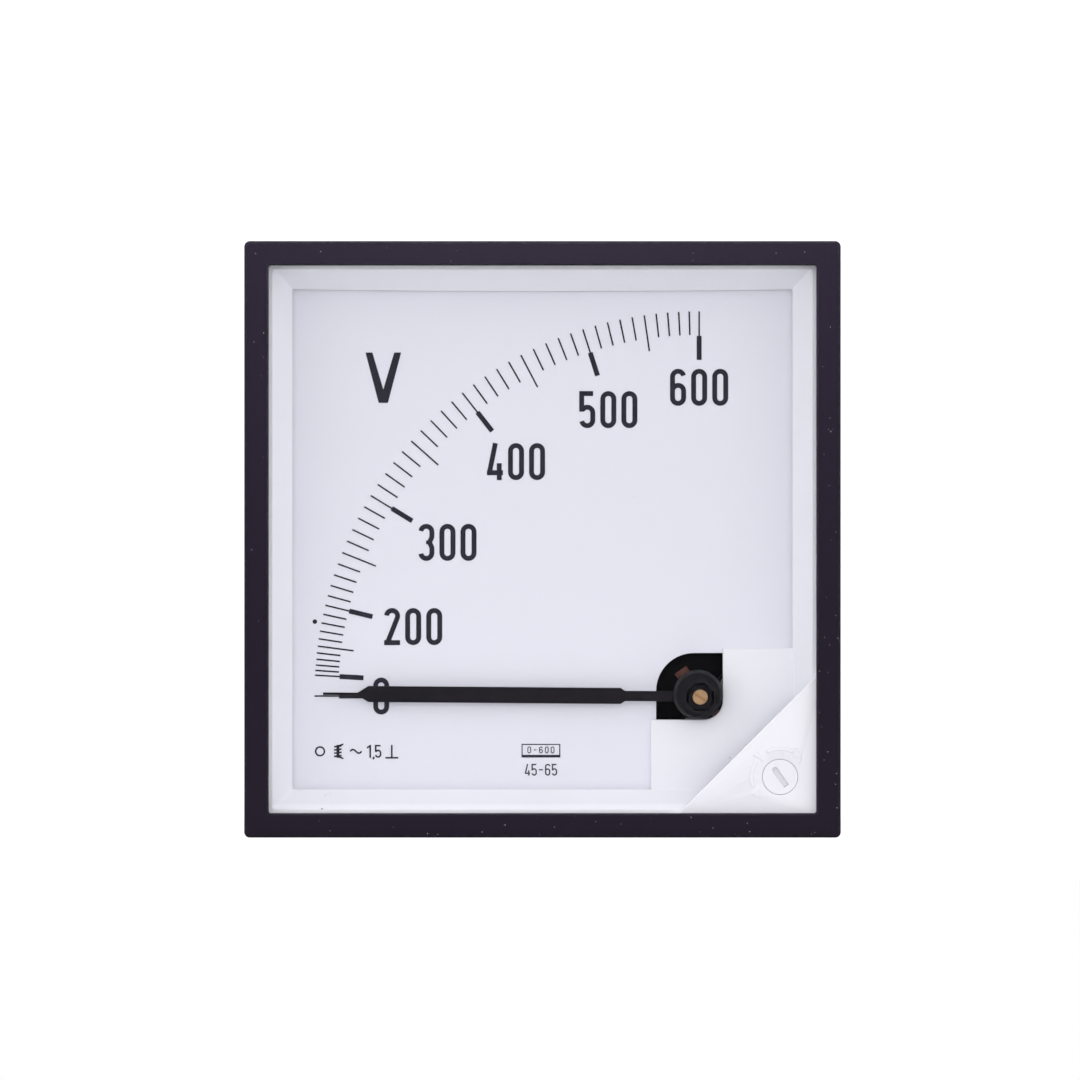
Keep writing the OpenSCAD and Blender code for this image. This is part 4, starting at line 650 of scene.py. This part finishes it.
PALE_DUST = (0.55, 0.54, 0.56)
SMOOTH_WHITE = {"grain": 3800.0, "mottle": 0.01, "spread": 0.05, "bump": 0.012}
FINISHES = {}


def finish_table():
    """How each finish is made. Most are named after the slot that they dress. A row holds the maker, the
    material's name and its colour. Next come roughness and specular level for a plastic, or tarnish, its
    share, the lines' scale and roughness for a metal. The maker's other values stand last, by name."""
    tone = colours()
    return {
        # the front frame's lighter edge colour is wear and a painted highlight on its rounded edges
        "bezel_plastic": (plastic, "front_frame_plastic", tone.bezel, 0.46, 0.12, {
            "grain": 2600.0, "spread": 0.05, "mottle": 0.02, "bump": 0.015,
            "edge": ((0.028, 0.0265, 0.033), 0.30)}),
        "white_plastic": (plastic, "mask_plastic", tone.white, 0.42, 0.4, SMOOTH_WHITE),
        # the pad is part of the mask's moulding; its darker copy of the white is painted shade
        "pad": (plastic, "pad_plastic", (0.875, 0.87, 0.93), 0.42, 0.4, SMOOTH_WHITE),
        # a darker copy of the white plastic for the corner piece: painted shade against the stronger light
        # outside the glass
        "corner": (plastic, "corner_plastic", (0.745, 0.735, 0.79), 0.38, 0.45, SMOOTH_WHITE),
        "dial_paint": (plastic, "dial_enamel", tone.dial, 0.55, 0.3, {
            "grain": 5200.0, "drift": 25.0, "mottle": 0.01, "spread": 0.05, "bump": 0.01}),
        "case_plastic": (plastic, "case_plastic", tone.case, 0.5, 0.4, {
            "grain": 2600.0, "mottle": 0.14, "bump": 0.35, "dust": (PALE_DUST, 380.0, 0.10, 0.01)}),
        "black_plastic": (plastic, "inner_black_plastic", (0.005, 0.0048, 0.0065), 0.6, 0.15),
        "turret_metal": (plastic, "turret_lacquer", (0.0065, 0.006, 0.009), 0.34, 0.45, {
            "grain": 5000.0, "spread": 0.16, "mottle": 0.2, "bump": 0.1,
            "dust": (PALE_DUST, 1500.0, 0.10, 0.02)}),
        "pointer_metal": (plastic, "pointer_paint", tone.pointer, 0.42, 0.3, {
            "grain": 4800.0, "mottle": 0.2, "bump": 0.08}),
        "gasket_rubber": (plastic, "gasket_rubber", (0.02, 0.02, 0.024), 0.7, 0.3, {"bump": 0.3}),
        "former_plastic": (plastic, "former_plastic", (0.55, 0.5, 0.36), 0.5, 0.5),
        "resistor_glaze": (plastic, "resistor_glaze", (0.10, 0.17, 0.10), 0.25, 0.6, {
            "grain": 1500.0, "spread": 0.1, "mottle": 0.2}),
        "ground": (plastic, "ground_glass_edge", (0.93, 0.93, 0.96), 0.6, 0.3),
        "dust": (plastic, "pale_dust", (0.34, 0.33, 0.34), 0.8, 0.1, {"mottle": 0.2}),
        "dirt": (plastic, "dark_specks", (0.10, 0.075, 0.05), 0.8, 0.1, {"mottle": 0.2}),
        "red_wire": (plastic, "wire_insulation", (0.45, 0.018, 0.012), 0.35, 0.5, {"mottle": 0.05}),
        "turned_brass": (metal, "turned_brass", tone.brass, (0.26, 0.15, 0.06), 0.45, TURNED_LINES, 0.26),
        # a brighter, rougher copy of the brass for the bearing screw: painted light where its face reflects
        # the dark camera side
        "bearing_brass": (metal, "bearing_screw_brass", (0.98, 0.66, 0.39), (0.6, 0.38, 0.2), 0.25,
                          (1500.0, 9000.0, 1500.0), 0.52, {"bump": 0.3}),
        "lever_copper": (metal, "lever_sheet", tone.copper, (0.12, 0.06, 0.045), 0.6,
                         (2500.0, 300.0, 2500.0), 0.4),
        "spring_bronze": (metal, "spring_strip", (0.66, 0.40, 0.2), (0.3, 0.18, 0.1), 0.3, TURNED_LINES, 0.3),
        "steel": (metal, "turned_steel", tone.steel, (0.3, 0.29, 0.28), 0.3, TURNED_LINES, 0.25),
        "zinc_steel": (metal, "zinc_plate", (0.62, 0.62, 0.62), (0.42, 0.41, 0.36), 0.5,
                       (1800.0, 1800.0, 1800.0), 0.36),
        "aluminium": (metal, "aluminium_sheet", (0.78, 0.79, 0.8), (0.5, 0.5, 0.5), 0.25,
                      (400.0, 400.0, 5000.0), 0.32),
        "soft_iron": (metal, "soft_iron", (0.28, 0.29, 0.31), (0.14, 0.13, 0.13), 0.5,
                      (2000.0, 500.0, 2000.0), 0.45),
        "ink": (printing_ink, "dial_ink", tone.ink, tone.dial),
        "clear_glass": (clear_glass, "front_glass", (0.99, 0.995, 1.0)),
        "ruby": (stone, "ruby", (0.42, 0.015, 0.05)),
        "winding": (wound_wire, "coil_wire", (0.48, 0.17, 0.06), (0.1, 0.03, 0.01)),
        "board": (laminated, "board_laminate", (0.3, 0.17, 0.06)),
    }


def finish_of(key):
    """The finish with this name, made once."""
    if key not in FINISHES:
        maker, *row = finish_table()[key]
        more = row.pop() if isinstance(row[-1], dict) else {}
        FINISHES[key] = maker(*row, **more)
    return FINISHES[key]


# ---- Pieces ----


class METER_OT_front_frame(bpy.types.Operator):
    """Build the black front frame with its rounded edges and its tongues"""

    bl_idname = "panel_meter.front_frame"
    bl_label = "Front Frame"

    def execute(self, context):
        size = sizes()
        half, front = FRONT_HIGH.x, FRONT_LOW.y
        wall, lip_back, least_radius = 2.4 * MM, front + 1.3 * MM, 0.38 * MM
        # strength of the lighter edge marks, wear and a painted highlight, on the outer and inner rounded
        # edges
        outer_wear_and_highlight, inner_wear_and_highlight, wear_and_highlight_reach = 1.0, 0.8, 1.3
        outer_r, inner_r = size.front_round, size.lip_round
        outer = arc((outer_r, front + outer_r), outer_r, 180, 270, 7)
        inner = arc((FACE_WIDTH - inner_r, front + inner_r), inner_r, 270, 360, 6)
        # rows without the wear and painted highlight, which keep it beside the two rounded edges
        plain = np.array([outer_r * wear_and_highlight_reach, FACE_WIDTH - inner_r * wear_and_highlight_reach])
        inset = np.concatenate([[0, 0], outer[:, 0], plain, inner[:, 0], [FACE_WIDTH, wall, wall]])
        depth = np.concatenate([
            [0, front + plain[0]], outer[:, 1], [front, front], inner[:, 1], [lip_back, lip_back, 0]])
        mark = np.concatenate([
            [0, 0], np.full(len(outer), outer_wear_and_highlight), [0, 0], np.full(len(inner), inner_wear_and_highlight), [0, 0, 0]])
        radius = np.clip(size.corner_round - inset * 0.9, least_radius, None)
        points, quads = square_sweep(half - inset, depth, radius, 8, 10)
        marks = np.repeat(mark[:, None], points.shape[1], 1)
        shells, all_marks = [(points, quads)], [marks]
        for tongue in self.tongues():
            shells.append(tongue)
            all_marks.append(np.zeros(tongue[0].shape[:2]))
        built_piece("front_moulding", shells, "bezel_plastic", "front_frame", edge_marks=all_marks)
        return {"FINISHED"}

    def tongues(self):
        """Eight springy tongues, two on each side: a hooked outline in depth and height, carried sideways."""
        half_width, place = 5 * MM, 20 * MM
        inner, thick, hook, tip_rise = 45.45 * MM, 0.5 * MM, 0.4 * MM, 0.05 * MM
        root, hook_start, tip = -2.7 * MM, 4.05 * MM, FRONT_HIGH.y
        hook_end = tip - 0.7 * MM
        outline = np.array([
            [root, inner], [hook_start, inner], [hook_start, inner - hook], [hook_end, inner - hook],
            [tip, inner + tip_rise], [tip, inner + thick], [root, inner + thick]])
        for side in range(4):
            for middle in (-place, place):
                yield prism(outline, middle - half_width, middle + half_width, self.turned(side))

    @staticmethod
    def turned(side):
        """Places depth, height and width on one of the four sides by a quarter turn."""
        c, s = (1, 0, -1, 0)[side], (0, 1, 0, -1)[side]

        def place(depth_height, width):
            depth, height = depth_height[:, 0], depth_height[:, 1]
            return np.stack([c * width + s * height, depth, c * height - s * width], -1)
        return place


class METER_OT_dial_frame(bpy.types.Operator):
    """Build the white mask with its sloping sides and the low pad beside the window"""

    bl_idname = "panel_meter.dial_frame"
    bl_label = "Dial Frame"

    def execute(self, context):
        size, y0 = sizes(), MASK_LOW.y
        slope_top, slope_foot, foot_y = 43.6 * MM, 40.65 * MM, y0 + 4.9 * MM
        top_corner, foot_corner = 0.45 * MM, 0.25 * MM
        wall, flange, top_bow = 1.2 * MM, 1.5 * MM, 0.3 * size.mask_bow
        lean = math.atan2(slope_top - slope_foot, foot_y - y0)
        turn = np.linspace(0, math.pi / 2 - lean, 6)
        r = size.mask_round
        edge_half = slope_top + r * math.tan((math.pi / 2 - lean) / 2) - r * np.sin(turn)
        edge_y = y0 + r * (1 - np.cos(turn))
        t = np.linspace(0, 1, 8)[1:]
        slope_half = edge_half[-1] * (1 - t) + slope_foot * t
        slope_y = edge_y[-1] * (1 - t) + foot_y * t
        back_half, back_y = slope_foot + wall, foot_y
        rim_half = slope_top + wall - (slope_top - slope_foot) / (foot_y - y0) * flange
        half = np.concatenate([[MASK_HIGH.x], edge_half, slope_half, [back_half, rim_half, MASK_HIGH.x]])
        depth = np.concatenate([[y0], edge_y, slope_y, [back_y, y0 + flange, y0 + flange]])
        bow = np.interp(half, [slope_foot, slope_top], [size.mask_bow, top_bow])
        bow[[0, -1, -2, -3]] = 0
        radius = np.interp(half, [slope_foot, slope_top], [foot_corner, top_corner])
        ring = square_sweep(half, depth, radius, 6, 24, bow)
        built_piece("dial_surround", [ring], "white_plastic", "dial_frame", angle=40)
        pad_height, pad_round = 0.8 * MM, 0.12 * MM
        pad = flat_plate("dial_pad", self.pad_outlines(), DIAL_FRONT - pad_height, DIAL_FRONT, pad_round)
        # the pad takes a darker copy of the mask's white plastic: painted shade
        place_piece("dial_pad", pad, BODY, "white_plastic", "dial_frame", finish="pad")
        return {"FINISHED"}

    @staticmethod
    def pad_outlines():
        """The pad's outline, an angle round the window with a round inner corner, and the adjuster's hole."""
        reach, window, r, hole_r = 41.2 * MM, 3.82 * MM, 3.2 * MM, 1.85 * MM
        left, top = PIVOT[0] - 7.9 * MM, PIVOT[2] + 7.8 * MM
        near_x, near_z = PIVOT[0] + window, PIVOT[2] - window
        corner = arc((near_x - r, near_z + r), r, 0, -90, 14)
        outline = np.concatenate([
            [[reach, top], [near_x, top]], corner, [[left, near_z], [left, -reach], [reach, -reach]]])
        hole = arc((ADJUSTER[0], ADJUSTER[2]), hole_r, 0, 345, 24)
        return [outline[::-1], hole]


class METER_OT_front_pane(bpy.types.Operator):
    """Round the glass and the white corner piece, and build the glass's ground edge between them"""

    bl_idname = "panel_meter.front_pane"
    bl_label = "Glass and Corner"

    def execute(self, context):
        soft_piece("front_glass", 0.06 * MM)
        # the corner piece takes a darker copy of the white plastic, painted shade
        soft_piece("zero_corner", 0.05 * MM, "corner")
        cut, play, depth_play, thick = 66.3 * MM, 0.1 * MM, 0.04 * MM, 0.06 * MM
        reach = GLASS_HIGH.x - play
        y0, y1 = GLASS_LOW.y + depth_play, GLASS_HIGH.y - depth_play
        outline = np.array([[-thick, y0], [thick, y0], [thick, y1], [-thick, y1]])
        half_run = (2 * reach - cut) / math.sqrt(2)

        def along_cut(flat, run):
            """Turns across, depth and run along the cut into three coordinates."""
            across, depth = flat[:, 0], flat[:, 1]
            x = cut / 2 + (run + across) / math.sqrt(2)
            z = -cut / 2 + (run - across) / math.sqrt(2)
            return np.stack([x, depth, z], -1)

        edge = prism(outline, -half_run, half_run, along_cut)
        built_piece("glass_ground_edge", [edge], "clear_glass", finish="ground")
        return {"FINISHED"}


class METER_OT_pointer(bpy.types.Operator):
    """Round the pointer's edges"""

    bl_idname = "panel_meter.pointer"
    bl_label = "Pointer"

    def execute(self, context):
        soft_piece("pointer", 0.07 * MM)
        return {"FINISHED"}


class METER_OT_turret(bpy.types.Operator):
    """Round the turret, its bearing screw, the zero adjuster and its lever, and place the hairspring"""

    bl_idname = "panel_meter.turret"
    bl_label = "Turret and Adjuster"

    def execute(self, context):
        soft_piece("front_bridge", 0.05 * MM)
        # the bearing screw takes the brighter copy of the brass, painted light
        soft_piece("front_bearing_screw", 0.04 * MM, "bearing_brass")
        # the adjuster takes the corner's darker copy of the white plastic, painted shade
        soft_piece("zero_adjuster", 0.08 * MM, "corner")
        soft_piece("zero_lever", 0.03 * MM, segments=1)
        # the spring's outer end is soldered to the tab, so it stays with the lever
        place_piece("hairspring_finished", softened("hairspring"), "lever",
                    SLOT_OF["hairspring"], "hairspring")
        return {"FINISHED"}


class METER_OT_terminals(bpy.types.Operator):
    """Build the threaded studs, their nuts and their washers"""

    bl_idname = "panel_meter.terminals"
    bl_label = "Terminals"

    def execute(self, context):
        nut_height = 2.6 * MM
        for node in ("terminal_stud_left", "terminal_stud_right"):
            low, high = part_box(node)
            centre = (low.x + high.x) / 2, (low.z + high.z) / 2
            stud = self.threaded_stud(centre, low.y, high.y)
            built_piece(node + "_threaded", stud, "turned_brass", node, angle=50)
        nuts = []
        for side in (-1, 1):
            centre = side * (STUD_LOW.x + STUD_HIGH.x) / 2, (STUD_LOW.z + STUD_HIGH.z) / 2
            for y0 in (NUTS_LOW.y, NUTS_HIGH.y - nut_height):
                nuts.append(self.hex_nut(centre, y0, y0 + nut_height))
        built_piece("terminal_nuts_chamfered", nuts, "turned_brass", "terminal_nuts", angle=25)
        soft_piece("terminal_washers", 0.1 * MM)
        return {"FINISHED"}

    @staticmethod
    def threaded_stud(centre, y0, y1):
        """A stud and its collar. The stud's radius is the full radius less a rounded V that follows the
        helix, depth over pitch less angle over a turn, and it fades at both ends into a chamfer."""
        size = sizes()
        r_out, end_r, pitch = 2.0 * MM, 1.45 * MM, size.thread_pitch
        around, rows_per_turn = 40, 9
        y = np.linspace(y0, y1, int((y1 - y0) / pitch * rows_per_turn))[:, None]
        phase = (y - y0) / pitch - np.arange(around)[None, :] / around
        ridge = np.abs((phase % 1.0) * 2 - 1)
        groove = size.thread_depth * np.clip(1.25 * ridge - 0.12, 0, 1)
        chamfer = np.minimum(np.clip(y1 - y, 0, None), np.clip(y - y0, 0, None)) + end_r
        r = np.minimum(r_out - groove, chamfer)
        stud = turned_shell(centre, np.pad(r, ((1, 1), (0, 0))), np.pad(y, ((1, 1), (0, 0)), "edge"), around)
        # the collar lies against the case's rear wall from inside
        collar_front = CASE_HIGH.y - 1.5 * MM - 2.5 * MM
        collar = np.array([[1.6, -1.5], [3.4, -1.5], [3.5, -1.4], [3.5, 0.0], [1.6, 0.0]]) * MM
        return [stud, turned_shell(centre, collar[:, :1], collar[:, 1:] + collar_front, 48, True)]

    @staticmethod
    def hex_nut(centre, y0, y1):
        """A nut as a closed ring of profiles. The outer radius is the hexagon's at each angle, cut at both
        ends by a thirty degree cone."""
        flat, bore, around = 3.5 * MM, 2.05 * MM, 72
        angle = np.linspace(0, 2 * math.pi, around, endpoint=False)
        hexagon = flat / np.cos((angle + math.pi / 6) % (math.pi / 3) - math.pi / 6)
        start = flat * 0.97
        rise = np.clip(hexagon - start, 0, None) * math.tan(math.radians(30))
        rows_r = [bore, start, hexagon, hexagon, start, bore]
        rows_y = [y0, y0, y0 + rise, y1 - rise, y1, y1]
        r, y = (np.array([np.broadcast_to(row, around) for row in rows]) for rows in (rows_r, rows_y))
        return turned_shell(centre, r, y, around, True)


class METER_OT_case(bpy.types.Operator):
    """Round the rear edge of the case"""

    bl_idname = "panel_meter.case"
    bl_label = "Case"

    def execute(self, context):
        mesh = softened("case")
        self.mark_rear_edge(mesh)
        piece = place_piece("case_finished", mesh, BODY, SLOT_OF["case"], "case")
        bevel = add_bevel(piece, sizes().case_round, 3)
        bevel.limit_method = "WEIGHT"
        bevel.harden_normals = False
        mesh.shade_flat()
        return {"FINISHED"}

    @staticmethod
    def mark_rear_edge(mesh):
        """Marks the sharp edges round the rear face for rounding: both ends lie at the greatest depth of the
        points far out from the middle."""
        far_out, play = 0.9 * CASE_HIGH.x, 0.02 * MM
        points = points_of(mesh)
        ends = np.zeros(len(mesh.edges) * 2, np.int32)
        mesh.edges.foreach_get("vertices", ends)
        sharp = np.zeros(len(mesh.edges), bool)
        mesh.attributes["sharp_edge"].data.foreach_get("value", sharp)
        outside = np.abs(points[:, [0, 2]]).max(1) > far_out
        rear = points[outside, 1].max()
        at_rear = outside & (points[:, 1] > rear - play)
        chosen = at_rear[ends.reshape(-1, 2)].all(1) & sharp
        mesh.attributes.new("bevel_weight_edge", "FLOAT", "EDGE").data.foreach_set(
            "value", chosen.astype(np.float32))


def grain(centre, r, flat=0.4):
    """A small round grain as a grid of angle and height, flattened in depth."""
    rise = np.linspace(-math.pi / 2, math.pi / 2, 6)[:, None]
    turn = np.linspace(0, 2 * math.pi, 8, endpoint=False)[None, :]
    x = r * np.cos(rise) * np.cos(turn)
    z = r * np.cos(rise) * np.sin(turn)
    y = np.broadcast_to(r * flat * np.sin(rise), x.shape)
    return np.stack([x, y, z], -1) + np.asarray(centre), grid_quads(6, 8, False, True)


class METER_OT_dust(bpy.types.Operator):
    """Scatter the fine dust on the front frame and a few dark specks inside"""

    bl_idname = "panel_meter.dust"
    bl_label = "Dust"

    def execute(self, context):
        random, count, half = np.random.default_rng(11), 64, FRONT_HIGH.x
        share_of_side = [0.38, 0.3, 0.2, 0.12]
        run = half * (2 * random.beta(1.9, 1.0, count) - 1)
        across = half - FACE_WIDTH * random.uniform(0.12, 0.9, count)
        side = random.choice(4, count, p=share_of_side)
        radius = MM * random.uniform(0.03, 0.085, count)
        x = np.choose(side, [run, across, run, -across])
        z = np.choose(side, [-across, -run, across, run])
        shells = [grain((x[i], FRONT_LOW.y, z[i]), radius[i]) for i in range(count)]
        built_piece("frame_dust", shells, "bezel_plastic", finish="dust")
        # place and radius in millimetres
        specks = [((-35.6, -1.95, -43.5), 0.12), ((-35.2, 1.2, -41.5), 0.07), ((-34.4, 1.4, -41.3), 0.06),
                  ((-34.4, 3.55, -38.1), 0.07), ((30.2, -3.95, -35.2), 0.09), ((14.9, 3.55, 6.9), 0.08),
                  ((7.6, 2.4, -41.2), 0.07)]
        shells = [grain(np.array(place) * MM, r * MM) for place, r in specks]
        built_piece("dark_specks", shells, "white_plastic", finish="dirt")
        return {"FINISHED"}


class METER_OT_finishes(bpy.types.Operator):
    """Give every remaining part of the model its finish"""

    bl_idname = "panel_meter.finishes"
    bl_label = "Finishes"

    def execute(self, context):
        for name, node in frame["nodes"].items():
            node.data.materials.clear()
            node.data.materials.append(finish_of(SLOT_OF[name]))
        return {"FINISHED"}


# ---- Stage ----


def studio_white(name):
    """White floor: lit like paper, and lifted to white where the camera looks at it."""
    paper, lift = 0.86, 0.72
    material, tree, shader, vector = new_finish(name, {
        "Base Color": (paper, paper, paper, 1), "Roughness": 1.0, "Specular IOR Level": 0.0,
        "Emission Color": (1, 1, 1, 1)})
    seen = tree.nodes.new("ShaderNodeLightPath").outputs["Is Camera Ray"]
    tree.links.new(times(tree, seen, lift), shader.inputs["Emission Strength"])
    return material


class METER_OT_stage(bpy.types.Operator):
    """Set the floor, the soft light and the camera"""

    bl_idname = "panel_meter.stage"
    bl_label = "Stage"

    def execute(self, context):
        setting, scene = stage_settings(), context.scene
        self.floor()
        scene.world = self.world(setting.world_level)
        self.lamp("key", (0.15, -1.0, 0.72), (0.8, 0.6), setting.key_power)
        self.lamp("left_fill", (-1.0, -0.9, 0.1), (0.7, 0.7), setting.side_power)
        self.lamp("right_fill", (1.0, -0.9, 0.1), (0.7, 0.7), setting.side_power)
        front = self.lamp("front_fill", (0.0, -1.1, 0.12), (0.9, 0.5), setting.front_power)
        front.visible_glossy = False
        # a small lamp above the meter that only the front frame catches, so its lower bar is the darkest
        top = self.lamp("frame_light", (0.0, -0.0855, 0.13), (0.05, 0.05), setting.frame_power)
        top.visible_glossy = top.visible_camera = False
        caught = bpy.data.collections.new("frame_light_receivers")
        caught.objects.link(bpy.data.objects["front_moulding"])
        top.light_linking.receiver_collection = caught
        scene.camera = self.camera(setting)
        scene.view_settings.view_transform = "Standard"
        return {"FINISHED"}

    @staticmethod
    def camera(setting):
        """A camera that looks straight back at the meter's front."""
        data = bpy.data.cameras.new("camera")
        data.sensor_width = 36.0
        data.lens = data.sensor_width * setting.distance / setting.view_width
        data.clip_start, data.clip_end = 0.01, 20.0
        camera = new_object("camera", data)
        camera.location = (setting.aim_x, FRONT_LOW.y - setting.distance, setting.aim_z)
        camera.rotation_euler = (math.pi / 2, 0, 0)
        return camera

    @staticmethod
    def floor():
        """A sheet that lies under the meter and curves up behind it, as one profile carried sideways."""
        low = CAD_BOUNDS[0][2]
        front, bend, back, top, width = -0.09, 0.5, 1.6, 2.2, 3.0
        curve = arc((back, low + bend), bend, -90, 0, 17)
        profile = np.concatenate([[[front, low]], curve, [[back + bend, top]]])
        x = np.array([-width, 0.0, width])
        points = np.stack(np.broadcast_arrays(x, profile[:, :1], profile[:, 1:]), -1)
        mesh = mesh_from("floor", [(points, grid_quads(len(profile), len(x)))])
        mesh.shade_smooth()
        mesh.materials.append(studio_white("studio_white"))
        sheet = new_object("floor", mesh)

    @staticmethod
    def world(level):
        """Pale light from above and the sides, dark on the camera's side as in a studio, and white where the
        camera looks past the floor."""
        world = bpy.data.worlds.new("studio")
        world.use_nodes = True
        tree = world.node_tree
        tree.nodes.clear()
        way = tree.nodes.new("ShaderNodeTexCoord").outputs["Generated"]
        dark_way, lit_until, dark_from, darkest = (0.0, -0.98, -0.2), 0.78, 0.94, 0.01
        toward_camera = put(tree, "ShaderNodeVectorMath", {0: way, 1: dark_way},
                            operation="DOT_PRODUCT").outputs["Value"]
        shade = stepped(tree, toward_camera, lit_until, dark_from, 1.0, darkest)
        lit = times(tree, shade, level)
        seen = tree.nodes.new("ShaderNodeLightPath").outputs["Is Camera Ray"]
        strength = math_node(tree, "MAXIMUM", lit, seen)
        back = put(tree, "ShaderNodeBackground", {"Color": (1, 1, 1, 1), "Strength": strength})
        put(tree, "ShaderNodeOutputWorld", {0: back.outputs[0]})
        return world

    @staticmethod
    def lamp(name, place, size, power):
        """A soft square lamp aimed at the meter."""
        light = bpy.data.lights.new(name, "AREA")
        light.shape = "RECTANGLE"
        light.size, light.size_y = size
        light.energy = power
        lamp = new_object(name, light)
        lamp.location = place
        lamp.rotation_euler = (-Vector(place)).to_track_quat("-Z", "Y").to_euler()
        lamp.visible_transmission = False
        return lamp


OPERATORS = (
    METER_OT_finishes, METER_OT_front_frame, METER_OT_dial_frame, METER_OT_front_pane, METER_OT_pointer,
    METER_OT_turret, METER_OT_terminals, METER_OT_case, METER_OT_dust, METER_OT_stage,
)
SETTINGS = {
    "panel_meter_sizes": MeterSizes, "panel_meter_colours": MeterColours, "panel_meter_stage": MeterStage}


class METER_PT_panel(bpy.types.Panel):
    """Lists the meter's pieces and settings"""

    bl_idname = "METER_PT_panel"
    bl_label = "Panel Meter"
    bl_space_type = "VIEW_3D"
    bl_region_type = "UI"
    bl_category = "Panel Meter"

    def draw(self, context):
        for name in SETTINGS:
            settings, box = getattr(context.scene, name), self.layout.box()
            for key in settings.bl_rna.properties.keys():
                if key not in ("rna_type", "name"):
                    box.prop(settings, key)
        for operator in OPERATORS:
            self.layout.operator(operator.bl_idname)


def register():
    for cls in (*SETTINGS.values(), *OPERATORS, METER_PT_panel):
        bpy.utils.register_class(cls)
    for name, cls in SETTINGS.items():
        setattr(bpy.types.Scene, name, bpy.props.PointerProperty(type=cls))


def unregister():
    for name in SETTINGS:
        delattr(bpy.types.Scene, name)
    for cls in (METER_PT_panel, *reversed(OPERATORS), *SETTINGS.values()):
        bpy.utils.unregister_class(cls)


def main():
    register()
    bpy.ops.panel_meter.finishes()
    bpy.ops.panel_meter.front_frame()
    bpy.ops.panel_meter.dial_frame()
    bpy.ops.panel_meter.front_pane()
    bpy.ops.panel_meter.pointer()
    bpy.ops.panel_meter.turret()
    bpy.ops.panel_meter.terminals()
    bpy.ops.panel_meter.case()
    bpy.ops.panel_meter.dust()
    bpy.ops.panel_meter.stage()


if __name__ == "__main__":
    main()
